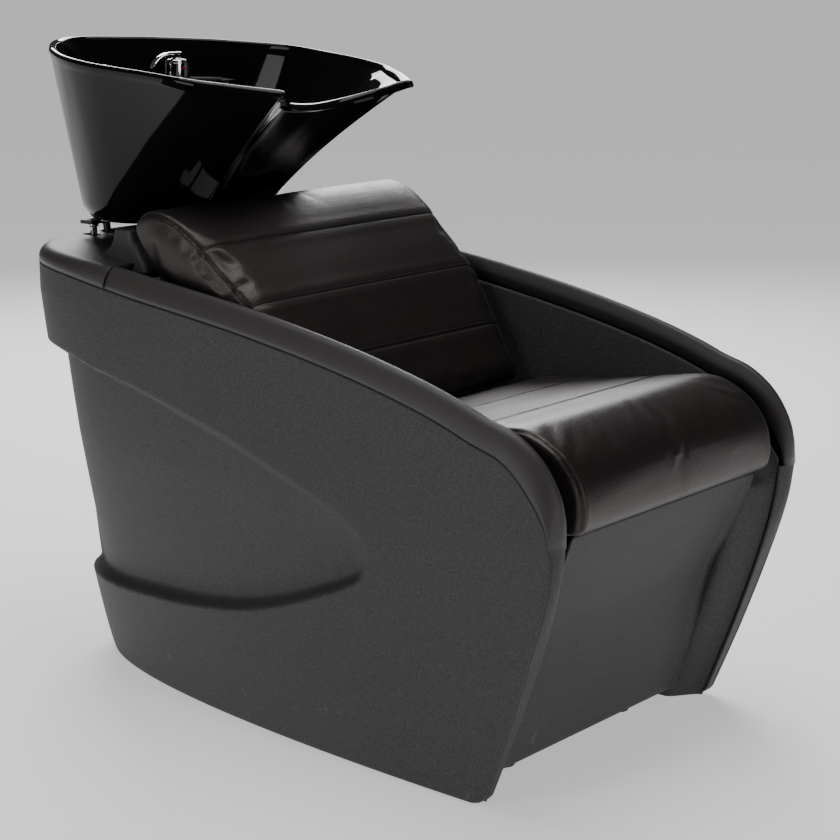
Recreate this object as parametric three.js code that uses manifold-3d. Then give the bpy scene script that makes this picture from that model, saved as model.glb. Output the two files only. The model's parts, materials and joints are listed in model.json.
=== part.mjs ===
// Shampoo backwash unit: a salon armchair with moulded side shells and a
// tilting ceramic wash basin behind it. Millimetres, +Z up, sitter faces -Y.
// The origin is on the floor, at the centre of the unit's footprint box.
import * as THREE from "three";
import { mergeVertices } from "three/addons/utils/BufferGeometryUtils.js";
import Module from "manifold-3d";

const wasm = await Module();
wasm.setup();

// ---------------------------------------------------------------- driving sizes
const GAP = 0.4;                    // clearance between touching pieces
const WALL = 5;                     // wall of the moulded shells
const FLOOR_LIFT = 3;               // shells clear the floor by this much
const PLAN_FRONT = -625;            // where the plan curves start, ahead of the knee
const TOP_HALF = 325;               // half width along the top crease
const FOOT_HALF = 304;              // half width at the floor
const TOP_REAR = 518;               // rear of the plan curve at the top
const FOOT_REAR = 480;              // rear of the plan curve at the floor
const PANEL_HALF = 140;             // half width of the rear access panel
const CAP_WIDTH = 37;               // width of the arm cap
const CAP_REAR = 225;               // the arm caps end here and the deck begins
const KNEE = [-616, 400];           // foremost point of the top crease (y, z)
const SEAT_Z = 398;                 // underside of the seat cushion
const SEAT_HALF = 256;
const PIVOT = [325, 690];           // basin tilt axis (y, z)
const BASIN_FLOOR = 736;            // underside of the basin
const WASTE_Y = 398;                // centre of the basin waste
const ROD_X = 142;
const ROD_Y = 442;                  // stay rods
const MIXER = [106, 492];           // mixer centre (x, y)
const LEDGE_Z = 948;                // top of the ledge at the rear of the basin
const SHOWER = [-38, 520];          // hand shower socket centre (x, y)
const RAIL_X = 150;
const RAIL = 30;                    // square tube of the floor frame
const FOOT_H = 12;

// ---------------------------------------------------------------- small helpers
const lerp = (a, b, t) => a + (b - a) * t;
const clamp01 = (t) => Math.min(1, Math.max(0, t));
const smooth = (a, b, x) => {
  const t = clamp01((x - a) / (b - a));
  return t * t * (3 - 2 * t);
};
const range = (n) => Array.from({ length: n + 1 }, (_, i) => i / n);

function interpolate(points, x) {
  if (x <= points[0][0]) return points[0][1];
  for (let i = 1; i < points.length; i += 1) {
    const [x0, y0] = points[i - 1];
    const [x1, y1] = points[i];
    if (x <= x1) return lerp(y0, y1, (x - x0) / (x1 - x0));
  }
  return points[points.length - 1][1];
}

// ---------------------------------------------------------------- solids
function solid(geometry) {
  const g = geometry.clone();
  g.deleteAttribute("normal");
  g.deleteAttribute("uv");
  const merged = mergeVertices(g, 1e-4);
  return new wasm.Manifold(new wasm.Mesh({
    numProp: 3,
    vertProperties: new Float32Array(merged.attributes.position.array),
    triVerts: new Uint32Array(merged.index.array),
  }));
}

function geometryOf(manifold) {
  const mesh = manifold.getMesh();
  const g = new THREE.BufferGeometry();
  g.setAttribute("position", new THREE.BufferAttribute(mesh.vertProperties, 3));
  g.setIndex(new THREE.BufferAttribute(mesh.triVerts, 1));
  return g;
}

const box = (x0, x1, y0, y1, z0, z1) => {
  const g = new THREE.BoxGeometry(x1 - x0, y1 - y0, z1 - z0);
  return g.translate((x0 + x1) / 2, (y0 + y1) / 2, (z0 + z1) / 2);
};
const rod = (r, z0, z1, sides = 16, x = 0, y = 0) => {
  const g = new THREE.CylinderGeometry(r, r, z1 - z0, sides).rotateX(Math.PI / 2);
  return g.translate(x, y, (z0 + z1) / 2);
};
const rodX = (r, x0, x1, y, z, sides = 16) => {
  const g = new THREE.CylinderGeometry(r, r, x1 - x0, sides).rotateZ(Math.PI / 2);
  return g.translate((x0 + x1) / 2, y, z);
};
const turned = (profile, x, y, z, sides = 20) => {
  const g = new THREE.LatheGeometry(profile.map(([r, h]) => new THREE.Vector2(r, h)), sides);
  return g.rotateX(Math.PI / 2).translate(x, y, z);
};
const join = (...list) => geometryOf(list.map(solid).reduce((a, b) => a.add(b)));
const cut = (base, ...tools) => geometryOf(
  tools.map(solid).reduce((a, b) => a.subtract(b), solid(base)));
const common = (a, b) => geometryOf(solid(a).intersect(solid(b)));
const mirrored = (g) => {
  const m = g.clone().scale(-1, 1, 1);
  const index = m.index.array;
  for (let i = 0; i < index.length; i += 3) {
    const k = index[i + 1];
    index[i + 1] = index[i + 2];
    index[i + 2] = k;
  }
  return m;
};

// A closed wall between two grids of points: front(u, v) faces outwards.
function wall(front, back, us, vs) {
  const rows = us.length;
  const cols = vs.length;
  const points = [];
  const index = [];
  for (const side of [front, back]) {
    for (const u of us) {
      for (const v of vs) points.push(...side(u, v));
    }
  }
  const id = (side, i, j) => side * rows * cols + i * cols + j;
  const quad = (a, b, c, d) => index.push(a, b, c, a, c, d);
  for (let i = 0; i < rows - 1; i += 1) {
    for (let j = 0; j < cols - 1; j += 1) {
      quad(id(0, i, j), id(0, i + 1, j), id(0, i + 1, j + 1), id(0, i, j + 1));
      quad(id(1, i, j), id(1, i, j + 1), id(1, i + 1, j + 1), id(1, i + 1, j));
    }
  }
  for (let i = 0; i < rows - 1; i += 1) {
    quad(id(0, i, 0), id(1, i, 0), id(1, i + 1, 0), id(0, i + 1, 0));
    quad(id(0, i, cols - 1), id(0, i + 1, cols - 1), id(1, i + 1, cols - 1), id(1, i, cols - 1));
  }
  for (let j = 0; j < cols - 1; j += 1) {
    quad(id(0, 0, j), id(0, 0, j + 1), id(1, 0, j + 1), id(1, 0, j));
    quad(id(0, rows - 1, j), id(1, rows - 1, j), id(1, rows - 1, j + 1), id(0, rows - 1, j + 1));
  }
  return outward(points, index);
}

// Rings of points joined into one closed body, with a fan on each end.
function loft(rings) {
  const n = rings[0].length;
  const points = rings.flat(2);
  const index = [];
  for (let i = 0; i < rings.length - 1; i += 1) {
    for (let j = 0; j < n; j += 1) {
      const a = i * n + j;
      const b = i * n + ((j + 1) % n);
      index.push(a, b, b + n, a, b + n, a + n);
    }
  }
  for (const [ring, flip] of [[0, true], [rings.length - 1, false]]) {
    const centre = points.length / 3;
    const mean = [0, 1, 2].map((k) => rings[ring].reduce((s, p) => s + p[k], 0) / n);
    points.push(...mean);
    for (let j = 0; j < n; j += 1) {
      const a = ring * n + j;
      const b = ring * n + ((j + 1) % n);
      index.push(...(flip ? [centre, b, a] : [centre, a, b]));
    }
  }
  return outward(points, index);
}

// Flat-ended bar: one outline of (a, b) points placed at two ends.
function bar(outline, place) {
  const flat = outline.map(([a, b]) => new THREE.Vector2(a, b));
  if (THREE.ShapeUtils.isClockWise(flat)) flat.reverse();
  const n = flat.length;
  const points = [0, 1].flatMap((end) => flat.flatMap(({ x, y }) => place(x, y, end)));
  const index = [];
  for (const [a, b, c] of THREE.ShapeUtils.triangulateShape(flat, [])) {
    index.push(a, c, b, n + a, n + b, n + c);
  }
  for (let i = 0; i < n; i += 1) {
    const j = (i + 1) % n;
    index.push(i, j, n + j, i, n + j, n + i);
  }
  return outward(points, index);
}

// Turns the faces round if the volume comes out negative.
function outward(points, index) {
  let volume = 0;
  const p = (i) => new THREE.Vector3(points[3 * i], points[3 * i + 1], points[3 * i + 2]);
  for (let i = 0; i < index.length; i += 3) {
    volume += p(index[i]).dot(p(index[i + 1]).cross(p(index[i + 2])));
  }
  if (volume < 0) {
    for (let i = 0; i < index.length; i += 3) {
      [index[i + 1], index[i + 2]] = [index[i + 2], index[i + 1]];
    }
  }
  const g = new THREE.BufferGeometry();
  g.setAttribute("position", new THREE.Float32BufferAttribute(points, 3));
  g.setIndex(index);
  return g;
}

function tube(points, radius, steps, sides = 8) {
  const path = new THREE.CatmullRomCurve3(points.map((p) => new THREE.Vector3(...p)));
  const shape = new THREE.Shape();
  for (let i = 0; i < sides; i += 1) {
    const a = (i / sides) * 2 * Math.PI;
    const method = i === 0 ? "moveTo" : "lineTo";
    shape[method](radius * Math.cos(a), radius * Math.sin(a));
  }
  shape.closePath();
  return new THREE.ExtrudeGeometry(shape, { extrudePath: path, steps, bevelEnabled: false });
}

// ---------------------------------------------------------------- casing surface
// Plan curve at height z: a superellipse from the knee line to the rear centre.
function planShape(z) {
  const t = clamp01(z / 640);
  return {
    half: lerp(FOOT_HALF, TOP_HALF, clamp01(z / 400)),
    rear: lerp(FOOT_REAR, TOP_REAR, smooth(0, 1, Math.sqrt(t))),
    p: 1.85 * (15 / 1.85) ** (t ** 0.75),
    q: lerp(3, 2, t),
  };
}
const planY = (x, z) => {
  const s = planShape(z);
  const side = clamp01(Math.abs(x) / s.half) ** s.q;
  return PLAN_FRONT + (s.rear - PLAN_FRONT) * (1 - side) ** (1 / s.p);
};
const planX = (y, z) => {
  const s = planShape(z);
  const along = clamp01((y - PLAN_FRONT) / (s.rear - PLAN_FRONT)) ** s.p;
  return s.half * (1 - along) ** (1 / s.q);
};

// Point on the plan curve with its inward normal, at a share of the curve's
// length from the plane y = front to the edge of the access panel.
function planPoint(front, share, z) {
  const samples = 160;
  const s = planShape(z);
  const rearLimit = planY(PANEL_HALF + GAP, z);
  const points = [];
  for (let i = 0; i <= samples; i += 1) {
    const a = (i / samples) ** 0.6;
    const y = lerp(front, rearLimit, a);
    points.push([planX(y, z), y]);
  }
  const lengths = [0];
  for (let i = 1; i <= samples; i += 1) {
    const step = Math.hypot(points[i][0] - points[i - 1][0], points[i][1] - points[i - 1][1]);
    lengths.push(lengths[i - 1] + step);
  }
  const target = share * lengths[samples];
  let k = 1;
  while (k < samples && lengths[k] < target) k += 1;
  const t = (target - lengths[k - 1]) / (lengths[k] - lengths[k - 1]);
  const x = lerp(points[k - 1][0], points[k][0], t);
  const y = lerp(points[k - 1][1], points[k][1], t);
  return { x, y, normal: planNormal(x, y, s) };
}
function planNormal(x, y, s) {
  const u = clamp01((y - PLAN_FRONT) / (s.rear - PLAN_FRONT));
  const gx = s.q * clamp01(x / s.half) ** (s.q - 1) / s.half;
  const gy = s.p * u ** (s.p - 1) / (s.rear - PLAN_FRONT);
  const size = Math.hypot(gx, gy);
  return [-gx / size, -gy / size];
}

// Top crease of the shells: up round the knee, along the arm, level at the rear.
const creaseRise = [[-545, 500], [-449, 541], [-307, 581], [-79, 624], [160, 655], [352, 680], [513, 687]];
const creaseZ = (y) => interpolate(creaseRise, y);
const frontEdge = [[3, -493], [150, -550], [283, -594], [350, -610], [400, -616]];
const frontY = (z) => interpolate(frontEdge, z);

// Scooped recess that starts in a rounded nose and wraps round the rear.
const NOSE_Y = -305;
const NOSE_RUN = 43;                 // length of the nose's slope
const recessTopLine = [
  [NOSE_Y, 338], [-289, 365], [-262, 383], [-216, 405], [-138, 434], [-89, 451], [-29, 472],
  [50, 492], [129, 511], [197, 525], [270, 537], [323, 549], [TOP_REAR, 562]];
const recessFootLine = [
  [NOSE_Y, 338], [-290, 306], [-256, 281], [-207, 259], [-135, 230], [-59, 206], [21, 190],
  [95, 180], [189, 172], [285, 162], [350, 157], [TOP_REAR, 148]];
function recessDepth(y, z) {
  if (y <= NOSE_Y) return 0;
  const foot = interpolate(recessFootLine, y);
  const top = interpolate(recessTopLine, y);
  if (z <= foot || z >= top) return 0;
  const high = 4 + 24 * smooth(-100, 300, y);
  const ledge = smooth(0, 20, z - foot);
  const lip = smooth(0, 14, top - z);
  return lerp(24, high, (z - foot) / (top - foot)) * smooth(0, NOSE_RUN, y - NOSE_Y) * ledge * lip;
}

// ---------------------------------------------------------------- side shells
function shellPoint(share, v, inset) {
  if (share < 0) return flangePoint(-share, v, inset);
  const top = shellTop(share);
  const front = frontY(lerp(FLOOR_LIFT, KNEE[1], v));
  const straight = lerp(frontY(FLOOR_LIFT), KNEE[0], v);
  const z = lerp(FLOOR_LIFT, top.z, v);
  const start = lerp(frontY(FLOOR_LIFT), top.start, v) + (front - straight);
  const at = planPoint(start, share, z);
  const depth = recessDepth(at.y, z) + inset;
  const sideways = at.normal[0] * smooth(PANEL_HALF, PANEL_HALF + 50, at.x);
  const corner = share === 0 ? inset : 0;
  return [-(at.x + sideways * depth), at.y + at.normal[1] * depth + corner, z];
}
// Front return of the shell, from the outer edge across to the inner panel.
function flangePoint(t, v, inset) {
  const z = lerp(FLOOR_LIFT, KNEE[1], v);
  const y = frontY(z);
  const outer = planX(y, z) - inset * (1 - t);
  return [-lerp(outer, INNER_TOP - 4, t), y + inset, z];
}
function shellTop(share) {
  const path = kneePath();
  const z = share < path.share ? interpolate(path.rise, share) : null;
  const at = planPoint(KNEE[0], share, z ?? 600);
  return { z: z ?? creaseZ(at.y), start: KNEE[0] };
}
function kneePath() {
  const length = 1330;
  const rise = [[0, 400], [3, 418], [15, 442], [36, 468], [71, 500], [167, 541]];
  return { share: 167 / length, rise: rise.map(([d, z]) => [d / length, z]) };
}
function sideShell() {
  const us = [-1, -0.5, 0, 0.004, 0.012, 0.025, 0.05, 0.08, 0.11];
  for (let i = 1; i <= 16; i += 1) us.push(0.11 + (0.89 * i) / 16);
  const vs = range(15);
  return wall((u, v) => shellPoint(u, v, 0), (u, v) => shellPoint(u, v, WALL), us, vs);
}

// Rear access panel, between the two shells on the same surface.
function accessPoint(u, v, inset) {
  const x = lerp(-1, 1, u) * (PANEL_HALF - 1);
  const z = lerp(FLOOR_LIFT, creaseZ(TOP_REAR) - 1, v);
  const depth = recessDepth(TOP_REAR, z) + inset;
  return [x, planY(x, z) - depth, z];
}
function accessPanel() {
  const us = range(6);
  const vs = range(15);
  return wall((u, v) => accessPoint(u, v, 0), (u, v) => accessPoint(u, v, WALL), us, vs);
}

// ---------------------------------------------------------------- arm caps and deck
// Height of the crown above the crease, low at the knee, full along the arm.
const crownRise = [[-616, 9], [-604, 22], [-560, 34], [160, 34], [352, 26], [513, 24]];
const capSection = [
  [0, 0.02], [2, 0.45], [9, 0.85], [20, 1], [30, 0.85], [CAP_WIDTH - 1, 0.45], [CAP_WIDTH, 0.02]];

function capStations() {
  const path = kneePath();
  const stations = [];
  for (const [share, z] of path.rise) {
    const at = planPoint(KNEE[0], share, z);
    stations.push([at.x, at.y, z]);
  }
  const last = -449;
  const steps = 14;
  for (let i = 1; i <= steps; i += 1) {
    const y = lerp(last, CAP_REAR - GAP, i / steps);
    stations.push([planX(y, 620), y, creaseZ(y)]);
  }
  return stations;
}
function armCap() {
  const stations = capStations();
  const rings = stations.map(([x, y, z], i) => {
    const before = stations[Math.max(0, i - 1)];
    const after = stations[Math.min(stations.length - 1, i + 1)];
    const tangent = i === 0 ? [0, 1] : unit(after[1] - before[1], after[2] - before[2]);
    const level = i === 0 || i === stations.length - 1;
    const up = level && i > 0 ? [0, 1] : i === 0 ? [-1, 0] : [-tangent[1], tangent[0]];
    const rise = interpolate(crownRise, y);
    return capSection.map(([across, h]) => {
      const lift = GAP + h * rise;
      return [-(x - across), y + up[0] * lift, z + up[1] * lift];
    });
  });
  return loft(rings);
}
function unit(a, b) {
  const size = Math.hypot(a, b);
  return [a / size, b / size];
}

// Deck behind the backrest: a crowned plate with the hose opening and rod slots.
const HOSE_OPENING = [-110, 110, 290, 474];
const DECK_PLATE = 6;
const DECK_ROUND = 22;               // radius of the deck's edge
function deckPoint(u, v, under) {
  const half = TOP_HALF - 3;
  const x = half * Math.sin((u - 0.5) * Math.PI);
  const back = Math.max(planY(x, 640), CAP_REAR + 12);
  const y = lerp(CAP_REAR + 1, back, 1 - (1 - v) ** 1.7);
  const edge = Math.min(edgeDistance(x, y), 60);
  const roundness = Math.sqrt(clamp01(1 - (1 - clamp01(edge / DECK_ROUND)) ** 2));
  const top = creaseZ(y) + GAP + lerp(DECK_PLATE, interpolate(crownRise, y), roundness);
  return [x, y, under ? top - DECK_PLATE : top];
}
function edgeDistance(x, y) {
  const s = planShape(640);
  const u = clamp01((y - PLAN_FRONT) / (s.rear - PLAN_FRONT));
  const value = 1 - clamp01(Math.abs(x) / s.half) ** s.q - u ** s.p;
  const gx = s.q * clamp01(Math.abs(x) / s.half) ** (s.q - 1) / s.half;
  const gy = s.p * u ** (s.p - 1) / (s.rear - PLAN_FRONT);
  return Math.max(0, value) / Math.hypot(gx, gy);
}
function rearDeck() {
  const plate = wall((u, v) => deckPoint(u, v, false), (u, v) => deckPoint(u, v, true), range(18), range(9));
  const [x0, x1, y0, y1] = HOSE_OPENING;
  const slots = [-1, 1].map((side) => slot(side * ROD_X, ROD_Y + 4, 9, 14, 650, 760));
  return cut(plate, box(x0, x1, y0, y1, 640, 760), ...slots);
}
function slot(x, y, r, halfLength, z0, z1) {
  const shape = new THREE.Shape();
  shape.absarc(0, halfLength - r, r, 0, Math.PI);
  shape.absarc(0, r - halfLength, r, Math.PI, 2 * Math.PI);
  shape.closePath();
  const g = new THREE.ExtrudeGeometry(shape, { depth: z1 - z0, bevelEnabled: false, curveSegments: 6 });
  return g.translate(x, y, z0);
}

// Inner wall of an arm and, below the seat, of the leg.
const INNER_FOOT = 240;
const INNER_SEAT = 262;
const INNER_TOP = 286;
const LEDGE_LOW = 376;
const INNER_REAR = CAP_REAR - 5;
function innerX(y, z, crease) {
  const low = smooth(LEDGE_LOW - 6, LEDGE_LOW, z) * (INNER_SEAT - INNER_FOOT);
  const high = clamp01((z - LEDGE_LOW) / (crease - LEDGE_LOW)) * (INNER_TOP - INNER_SEAT);
  const base = INNER_FOOT + low + high;
  const front = frontY(Math.min(z, KNEE[1]));
  return lerp(INNER_TOP - 3, base, smooth(6, 46, y - front));
}
function innerPoint(u, v, inset) {
  const along = u ** 1.6;
  const topY = lerp(-600, INNER_REAR, along);
  const footY = lerp(frontY(FLOOR_LIFT) + WALL + 2, -60, along);
  const crease = topY < -545 ? lerp(424, 494, (topY + 600) / 55) : creaseZ(topY) - 3;
  const z = lerp(FLOOR_LIFT, crease, v);
  const bow = (1 - along) * (frontY(Math.min(z, KNEE[1])) - lerp(frontY(FLOOR_LIFT), KNEE[0], v));
  const y = lerp(footY, topY, v) + bow;
  return [-(innerX(y, z, crease) + inset), y, z];
}
function innerPanel() {
  const vs = [0, 0.25, 0.5, 0.6, 0.64, 0.68, 0.72, 0.8, 0.9, 1];
  return wall((u, v) => innerPoint(u, v, 0), (u, v) => innerPoint(u, v, 4), range(11), vs);
}

// Front fascia between the legs, leaning forwards to the seat's front roll.
const FASCIA_TOP = SEAT_Z - 3;
const fasciaLine = [[20, -458], [125, -489], [233, -518], [300, -550], [372, -582], [FASCIA_TOP, -590]];
function fasciaPoint(u, v, inset) {
  const z = lerp(20, FASCIA_TOP, v);
  const x = lerp(-1, 1, u) * (INNER_FOOT - 2);
  return [x, interpolate(fasciaLine, z) + inset, z];
}
const frontFascia = () => wall(
  (u, v) => fasciaPoint(u, v, 0), (u, v) => fasciaPoint(u, v, WALL), range(6), range(10));

// ---------------------------------------------------------------- seat and back
const seatProfile = [
  [-170, SEAT_Z], [-606, SEAT_Z], [-622, 412], [-627, 440], [-616, 474], [-588, 508], [-550, 530],
  [-512, 537], [-434, 523], [-300, 502], [-178, 488], [-162, 470], [-158, 430],
];
const SEAT_CENTRE = [-400, 450];
const SEAT_END_PULL = 0.96;          // the side faces are this much smaller than the middle
const seatCushion = () => loft([-1, -0.94, 0.94, 1].map((side) => {
  const pull = Math.abs(side) === 1 ? SEAT_END_PULL : 1;
  return seatProfile.map(([y, z]) => [
    side * SEAT_HALF, lerp(SEAT_CENTRE[0], y, pull), lerp(SEAT_CENTRE[1], z, pull)]);
}));
const seatBoard = () => box(-246, 246, -560, -150, SEAT_Z - 16, SEAT_Z - GAP);

// Front outline of the backrest, up the front, over the top and down the rear.
const backProfile = [
  [-144, 492], [-97, 569], [-33, 658], [54, 736], [104, 772], [142, 788], [178, 786], [202, 768],
  [206, 748], [176, 700], [96, 618], [0, 540], [-74, 478], [-112, 474],
];
const backHalf = (z) => lerp(256, 294, clamp01((z - 480) / 310));
const backMiddle = (z) => z * 0.62 - 360;
const BACK_END_PULL = 0.86;
const backCushion = () => loft([-1, -0.92, 0.92, 1].map((side) => {
  const pull = Math.abs(side) === 1 ? BACK_END_PULL : 1;
  return backProfile.map(([y, z]) => [side * backHalf(z), lerp(backMiddle(z), y, pull), z]);
}));
const BOARD_HALF = 240;
function backBoard() {
  const outline = [
    [-64, 472], [6, 530], [102, 608], [182, 688], [188, 682], [188, 670], [108, 592], [12, 516], [-54, 462]];
  return bar(outline, (y, z, end) => [lerp(-BOARD_HALF, BOARD_HALF, end), y, z]);
}

// ---------------------------------------------------------------- basin
// Rim outline, right half: x, y, z from the neck notch round to the rear.
const rimHalf = [
  [0, 69, 934], [38, 67, 936], [74, 58, 941], [103, 42, 948], [126, 22, 956], [143, 8, 963],
  [156, 4, 966], [191, 45, 972], [215, 85, 977], [236, 125, 982], [252, 205, 991], [262, 285, 998],
  [263, 325, 1002], [256, 365, 1006], [239, 405, 1009], [215, 445, 1012], [187, 485, 1015],
  [152, 525, 1017], [112, 567, 1019], [70, 602, 1020], [30, 625, 1021], [0, 631, 1021],
];
const rimPoints = rimHalf.concat(rimHalf.slice(1, -1).reverse().map(([x, y, z]) => [-x, y, z]));
const BOWL_Y = 378;                  // the rings of the basin draw in towards x = 0 and this y
const basinFoot = (i) => {
  const [x, y] = rimPoints[i];
  const a = Math.atan2(y - BOWL_Y, x);
  const long = Math.sin(a) > 0 ? 136 : 118;
  return [178 * Math.cos(a), BOWL_Y + long * Math.sin(a), BASIN_FLOOR];
};
function basinRing(share, inset) {
  return rimPoints.map(([x, y, z], i) => {
    const foot = basinFoot(i);
    const front = smooth(BOWL_Y, 100, y);
    const spread = share <= 1 ? share - 0.07 * front * Math.sin(Math.PI * share) : share;
    const px = lerp(foot[0], x, spread);
    const py = lerp(foot[1], y, spread);
    const size = Math.hypot(px, py - BOWL_Y);
    const k = (size - inset) / size;
    return [px * k, lerp(BOWL_Y, py, k), lerp(BASIN_FLOOR, z, share)];
  });
}
const BASIN_WALL = 13;
const BOWL_REAR = 452;
const CAVITY_FRONT = 466;
const bowlRing = (share, inset) => basinRing(share, inset)
  .map(([x, y, z]) => [x, z < LEDGE_Z ? Math.min(y, BOWL_REAR) : y, z]);
// Hollow under the ledge, open below, where the hoses leave.
function serviceCavity() {
  const rear = (share, inset) => basinRing(share, inset)
    .map(([x, y, z]) => [x, Math.max(y, CAVITY_FRONT), z]);
  return loft([rear(-0.1, 14), rear(0.2, 12), rear(0.45, 12), rear(0.68, 12)]);
}
function basin() {
  const body = loft([
    basinRing(0, 24), basinRing(0.03, 8), basinRing(0.09, 0), basinRing(0.35, 0),
    basinRing(0.7, 0), basinRing(0.93, 0), basinRing(1, 5)]);
  const hollow = loft([
    bowlRing(0.07, 40), bowlRing(0.12, 24), bowlRing(0.4, BASIN_WALL + 4), bowlRing(0.72, BASIN_WALL),
    bowlRing(0.74, BASIN_WALL)]);
  const upper = loft([
    basinRing(0.73, BASIN_WALL), basinRing(0.96, BASIN_WALL - 1), basinRing(1.2, BASIN_WALL - 6)]);
  const holes = [
    rod(23, 700, 800, 20, 0, WASTE_Y), rod(17, 900, 1000, 16, ...MIXER), rod(14, 900, 1000, 16, ...SHOWER),
    serviceCavity(),
  ];
  const ledge = common(body, box(-TOP_HALF, TOP_HALF, BOWL_REAR, 700, BASIN_FLOOR - 1, LEDGE_Z));
  return cut(join(cut(body, hollow, upper), ledge), ...holes);
}

// Cheek beside the basin mount, seated on the deck.
const CHEEK_X = [212, 246];
function cheek() {
  const side = [
    [200, 690], [222, 702], [240, 724], [246, 744], [284, 744], [288, 722], [298, 708], [322, 698],
    [322, 660],
    [200, 660]];
  const block = bar(side, (y, z, end) => [-CHEEK_X[end], y, z]);
  const ground = wall((u, v) => raised(deckPoint(u, v, false)), (u, v) => lowered(deckPoint(u, v, false)),
    range(18), range(9));
  return cut(block, ground, box(-260, -200, 180, CAP_REAR + 1.5, 600, 712));
}
const raised = ([x, y, z]) => [x, y, z + GAP];
const lowered = ([x, y]) => [x, y, 560];

// ---------------------------------------------------------------- basin mount
const EAR_INNER = 48;
const EAR_THICK = 6;
const YOKE_INNER = EAR_INNER + EAR_THICK + 2;
const PIN_R = 8;
const COLUMN_TOP = 628;
function saddle() {
  const plate = box(-70, 70, 268, 366, BASIN_FLOOR - 7, BASIN_FLOOR - 1);
  const [y, z] = PIVOT;
  const ears = [-1, 1].map((side) => {
    const x0 = side > 0 ? EAR_INNER : -EAR_INNER - EAR_THICK;
    return box(x0, x0 + EAR_THICK, y - 22, y + 22, z - 20, BASIN_FLOOR - 5);
  });
  const arms = [-1, 1].flatMap((side) => [
    box(...ordered(side * 52, side * 69), 360, 456, BASIN_FLOOR - 7, BASIN_FLOOR - 1),
    box(...ordered(side * 60, side * 158), 428, 456, BASIN_FLOOR - 7, BASIN_FLOOR - 1),
  ]);
  return cut(join(plate, ...arms, ...ears), rodX(PIN_R + GAP, -80, 80, y, z, 12));
}
const ordered = (a, b) => [Math.min(a, b), Math.max(a, b)];
function yoke() {
  const [y, z] = PIVOT;
  const plate = box(-80, 80, 275, 375, COLUMN_TOP + GAP, COLUMN_TOP + 8);
  const ears = [-1, 1].map((side) => {
    const x0 = side > 0 ? YOKE_INNER : -YOKE_INNER - EAR_THICK;
    return box(x0, x0 + EAR_THICK, y - 25, y + 25, COLUMN_TOP + 6, z + 18);
  });
  return cut(join(plate, ...ears), rodX(PIN_R + GAP, -90, 90, y, z, 12));
}
const pivotPin = () => join(
  rodX(PIN_R, -74, 72, ...PIVOT, 12), rodX(13, -80, -73, ...PIVOT, 6));
const pinNut = () => rodX(12, 72 + GAP, 82, ...PIVOT, 6);

const ROD_LOW = 560;
const stayRod = (side) => join(
  rod(6, ROD_LOW, BASIN_FLOOR - 9, 12, side * ROD_X, ROD_Y),
  rod(8.5, BASIN_FLOOR - 12, BASIN_FLOOR - 7 - GAP, 12, side * ROD_X, ROD_Y));

// ---------------------------------------------------------------- waste, strainer and hoses
const ring = (points, x, y, sides = 20) => turned([...points, points[0]], x, y, 0, sides);
const wasteOutlet = () => ring(
  [[16, 690], [21, 690], [21, 756], [32, 761], [32, 764], [22, 764], [16, 757]], 0, WASTE_Y);
const wasteNut = () => ring([[24, 720], [31, 720], [31, 732], [24, 732]], 0, WASTE_Y, 8);
const strainer = () => join(
  rod(14.5, 750, 764.5, 14, 0, WASTE_Y), rod(19, 764.2, 767, 16, 0, WASTE_Y),
  rod(4, 766, 774, 10, 0, WASTE_Y));
const HOSE_R = 19;
const wasteHose = () => tube(
  [[0, 398, 688], [0, 400, 640], [0, 412, 560], [0, 425, 440], [0, 425, 300], [0, 415, 180], [0, 410, 71]],
  HOSE_R, 14, 10);
const wasteSpigot = () => ring(
  [[15, 4], [30, 4], [30, 12], [21, 16], [21, 69], [15, 69]], 0, 410, 16);
const supplyHose = (top, low) => tube(
  [[top, 486, 929], [top, 486, 915], [lerp(top, low, 0.7), 484, 860], [low, 478, 790], [low, 475, 740],
    [low, 463, 704], [low, 436, 640], [low, 408, 500], [low, 380, 350], [low, 326, 200], [low, 304, 103]],
  5, 28, 8);
const supplyInlet = (x) => join(
  rod(8, 20, 100, 10, x, 304), rod(9.5, 62, 80, 6, x, 304), box(x - 8, x + 8, 280 + GAP, 304, 20, 38));
const showerHose = () => tube(
  [[-38, 520, 895], [-40, 512, 830], [-64, 484, 765], [-80, 477, 738], [-92, 462, 705], [-102, 424, 580],
    [-90, 386, 330], [-20, 366, 190], [34, 386, 330], [38, 428, 580], [38, 462, 705], [40, 478, 740],
    [50, 486, 790], [78, 497, 840], [100, 501, 890], [103, 501, 928]],
  7, 56, 8);

// ---------------------------------------------------------------- mixer and hand shower
const [MX, MY] = MIXER;
const BODY_TOP = LEDGE_Z + 30;
const CAP_TOP = BODY_TOP + 9;
const mixerBody = () => join(
  rod(24, LEDGE_Z + 1, LEDGE_Z + 5, 18, MX, MY), rod(20, LEDGE_Z + 4, BODY_TOP, 18, MX, MY),
  rod(15, 930, LEDGE_Z + 3, 14, MX, MY));
const mixerCap = () => join(
  rod(20, BODY_TOP + GAP, BODY_TOP + 5, 18, MX, MY),
  box(MX - 9, MX + 9, MY - 5, MY + 5, BODY_TOP + 4, CAP_TOP));
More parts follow.
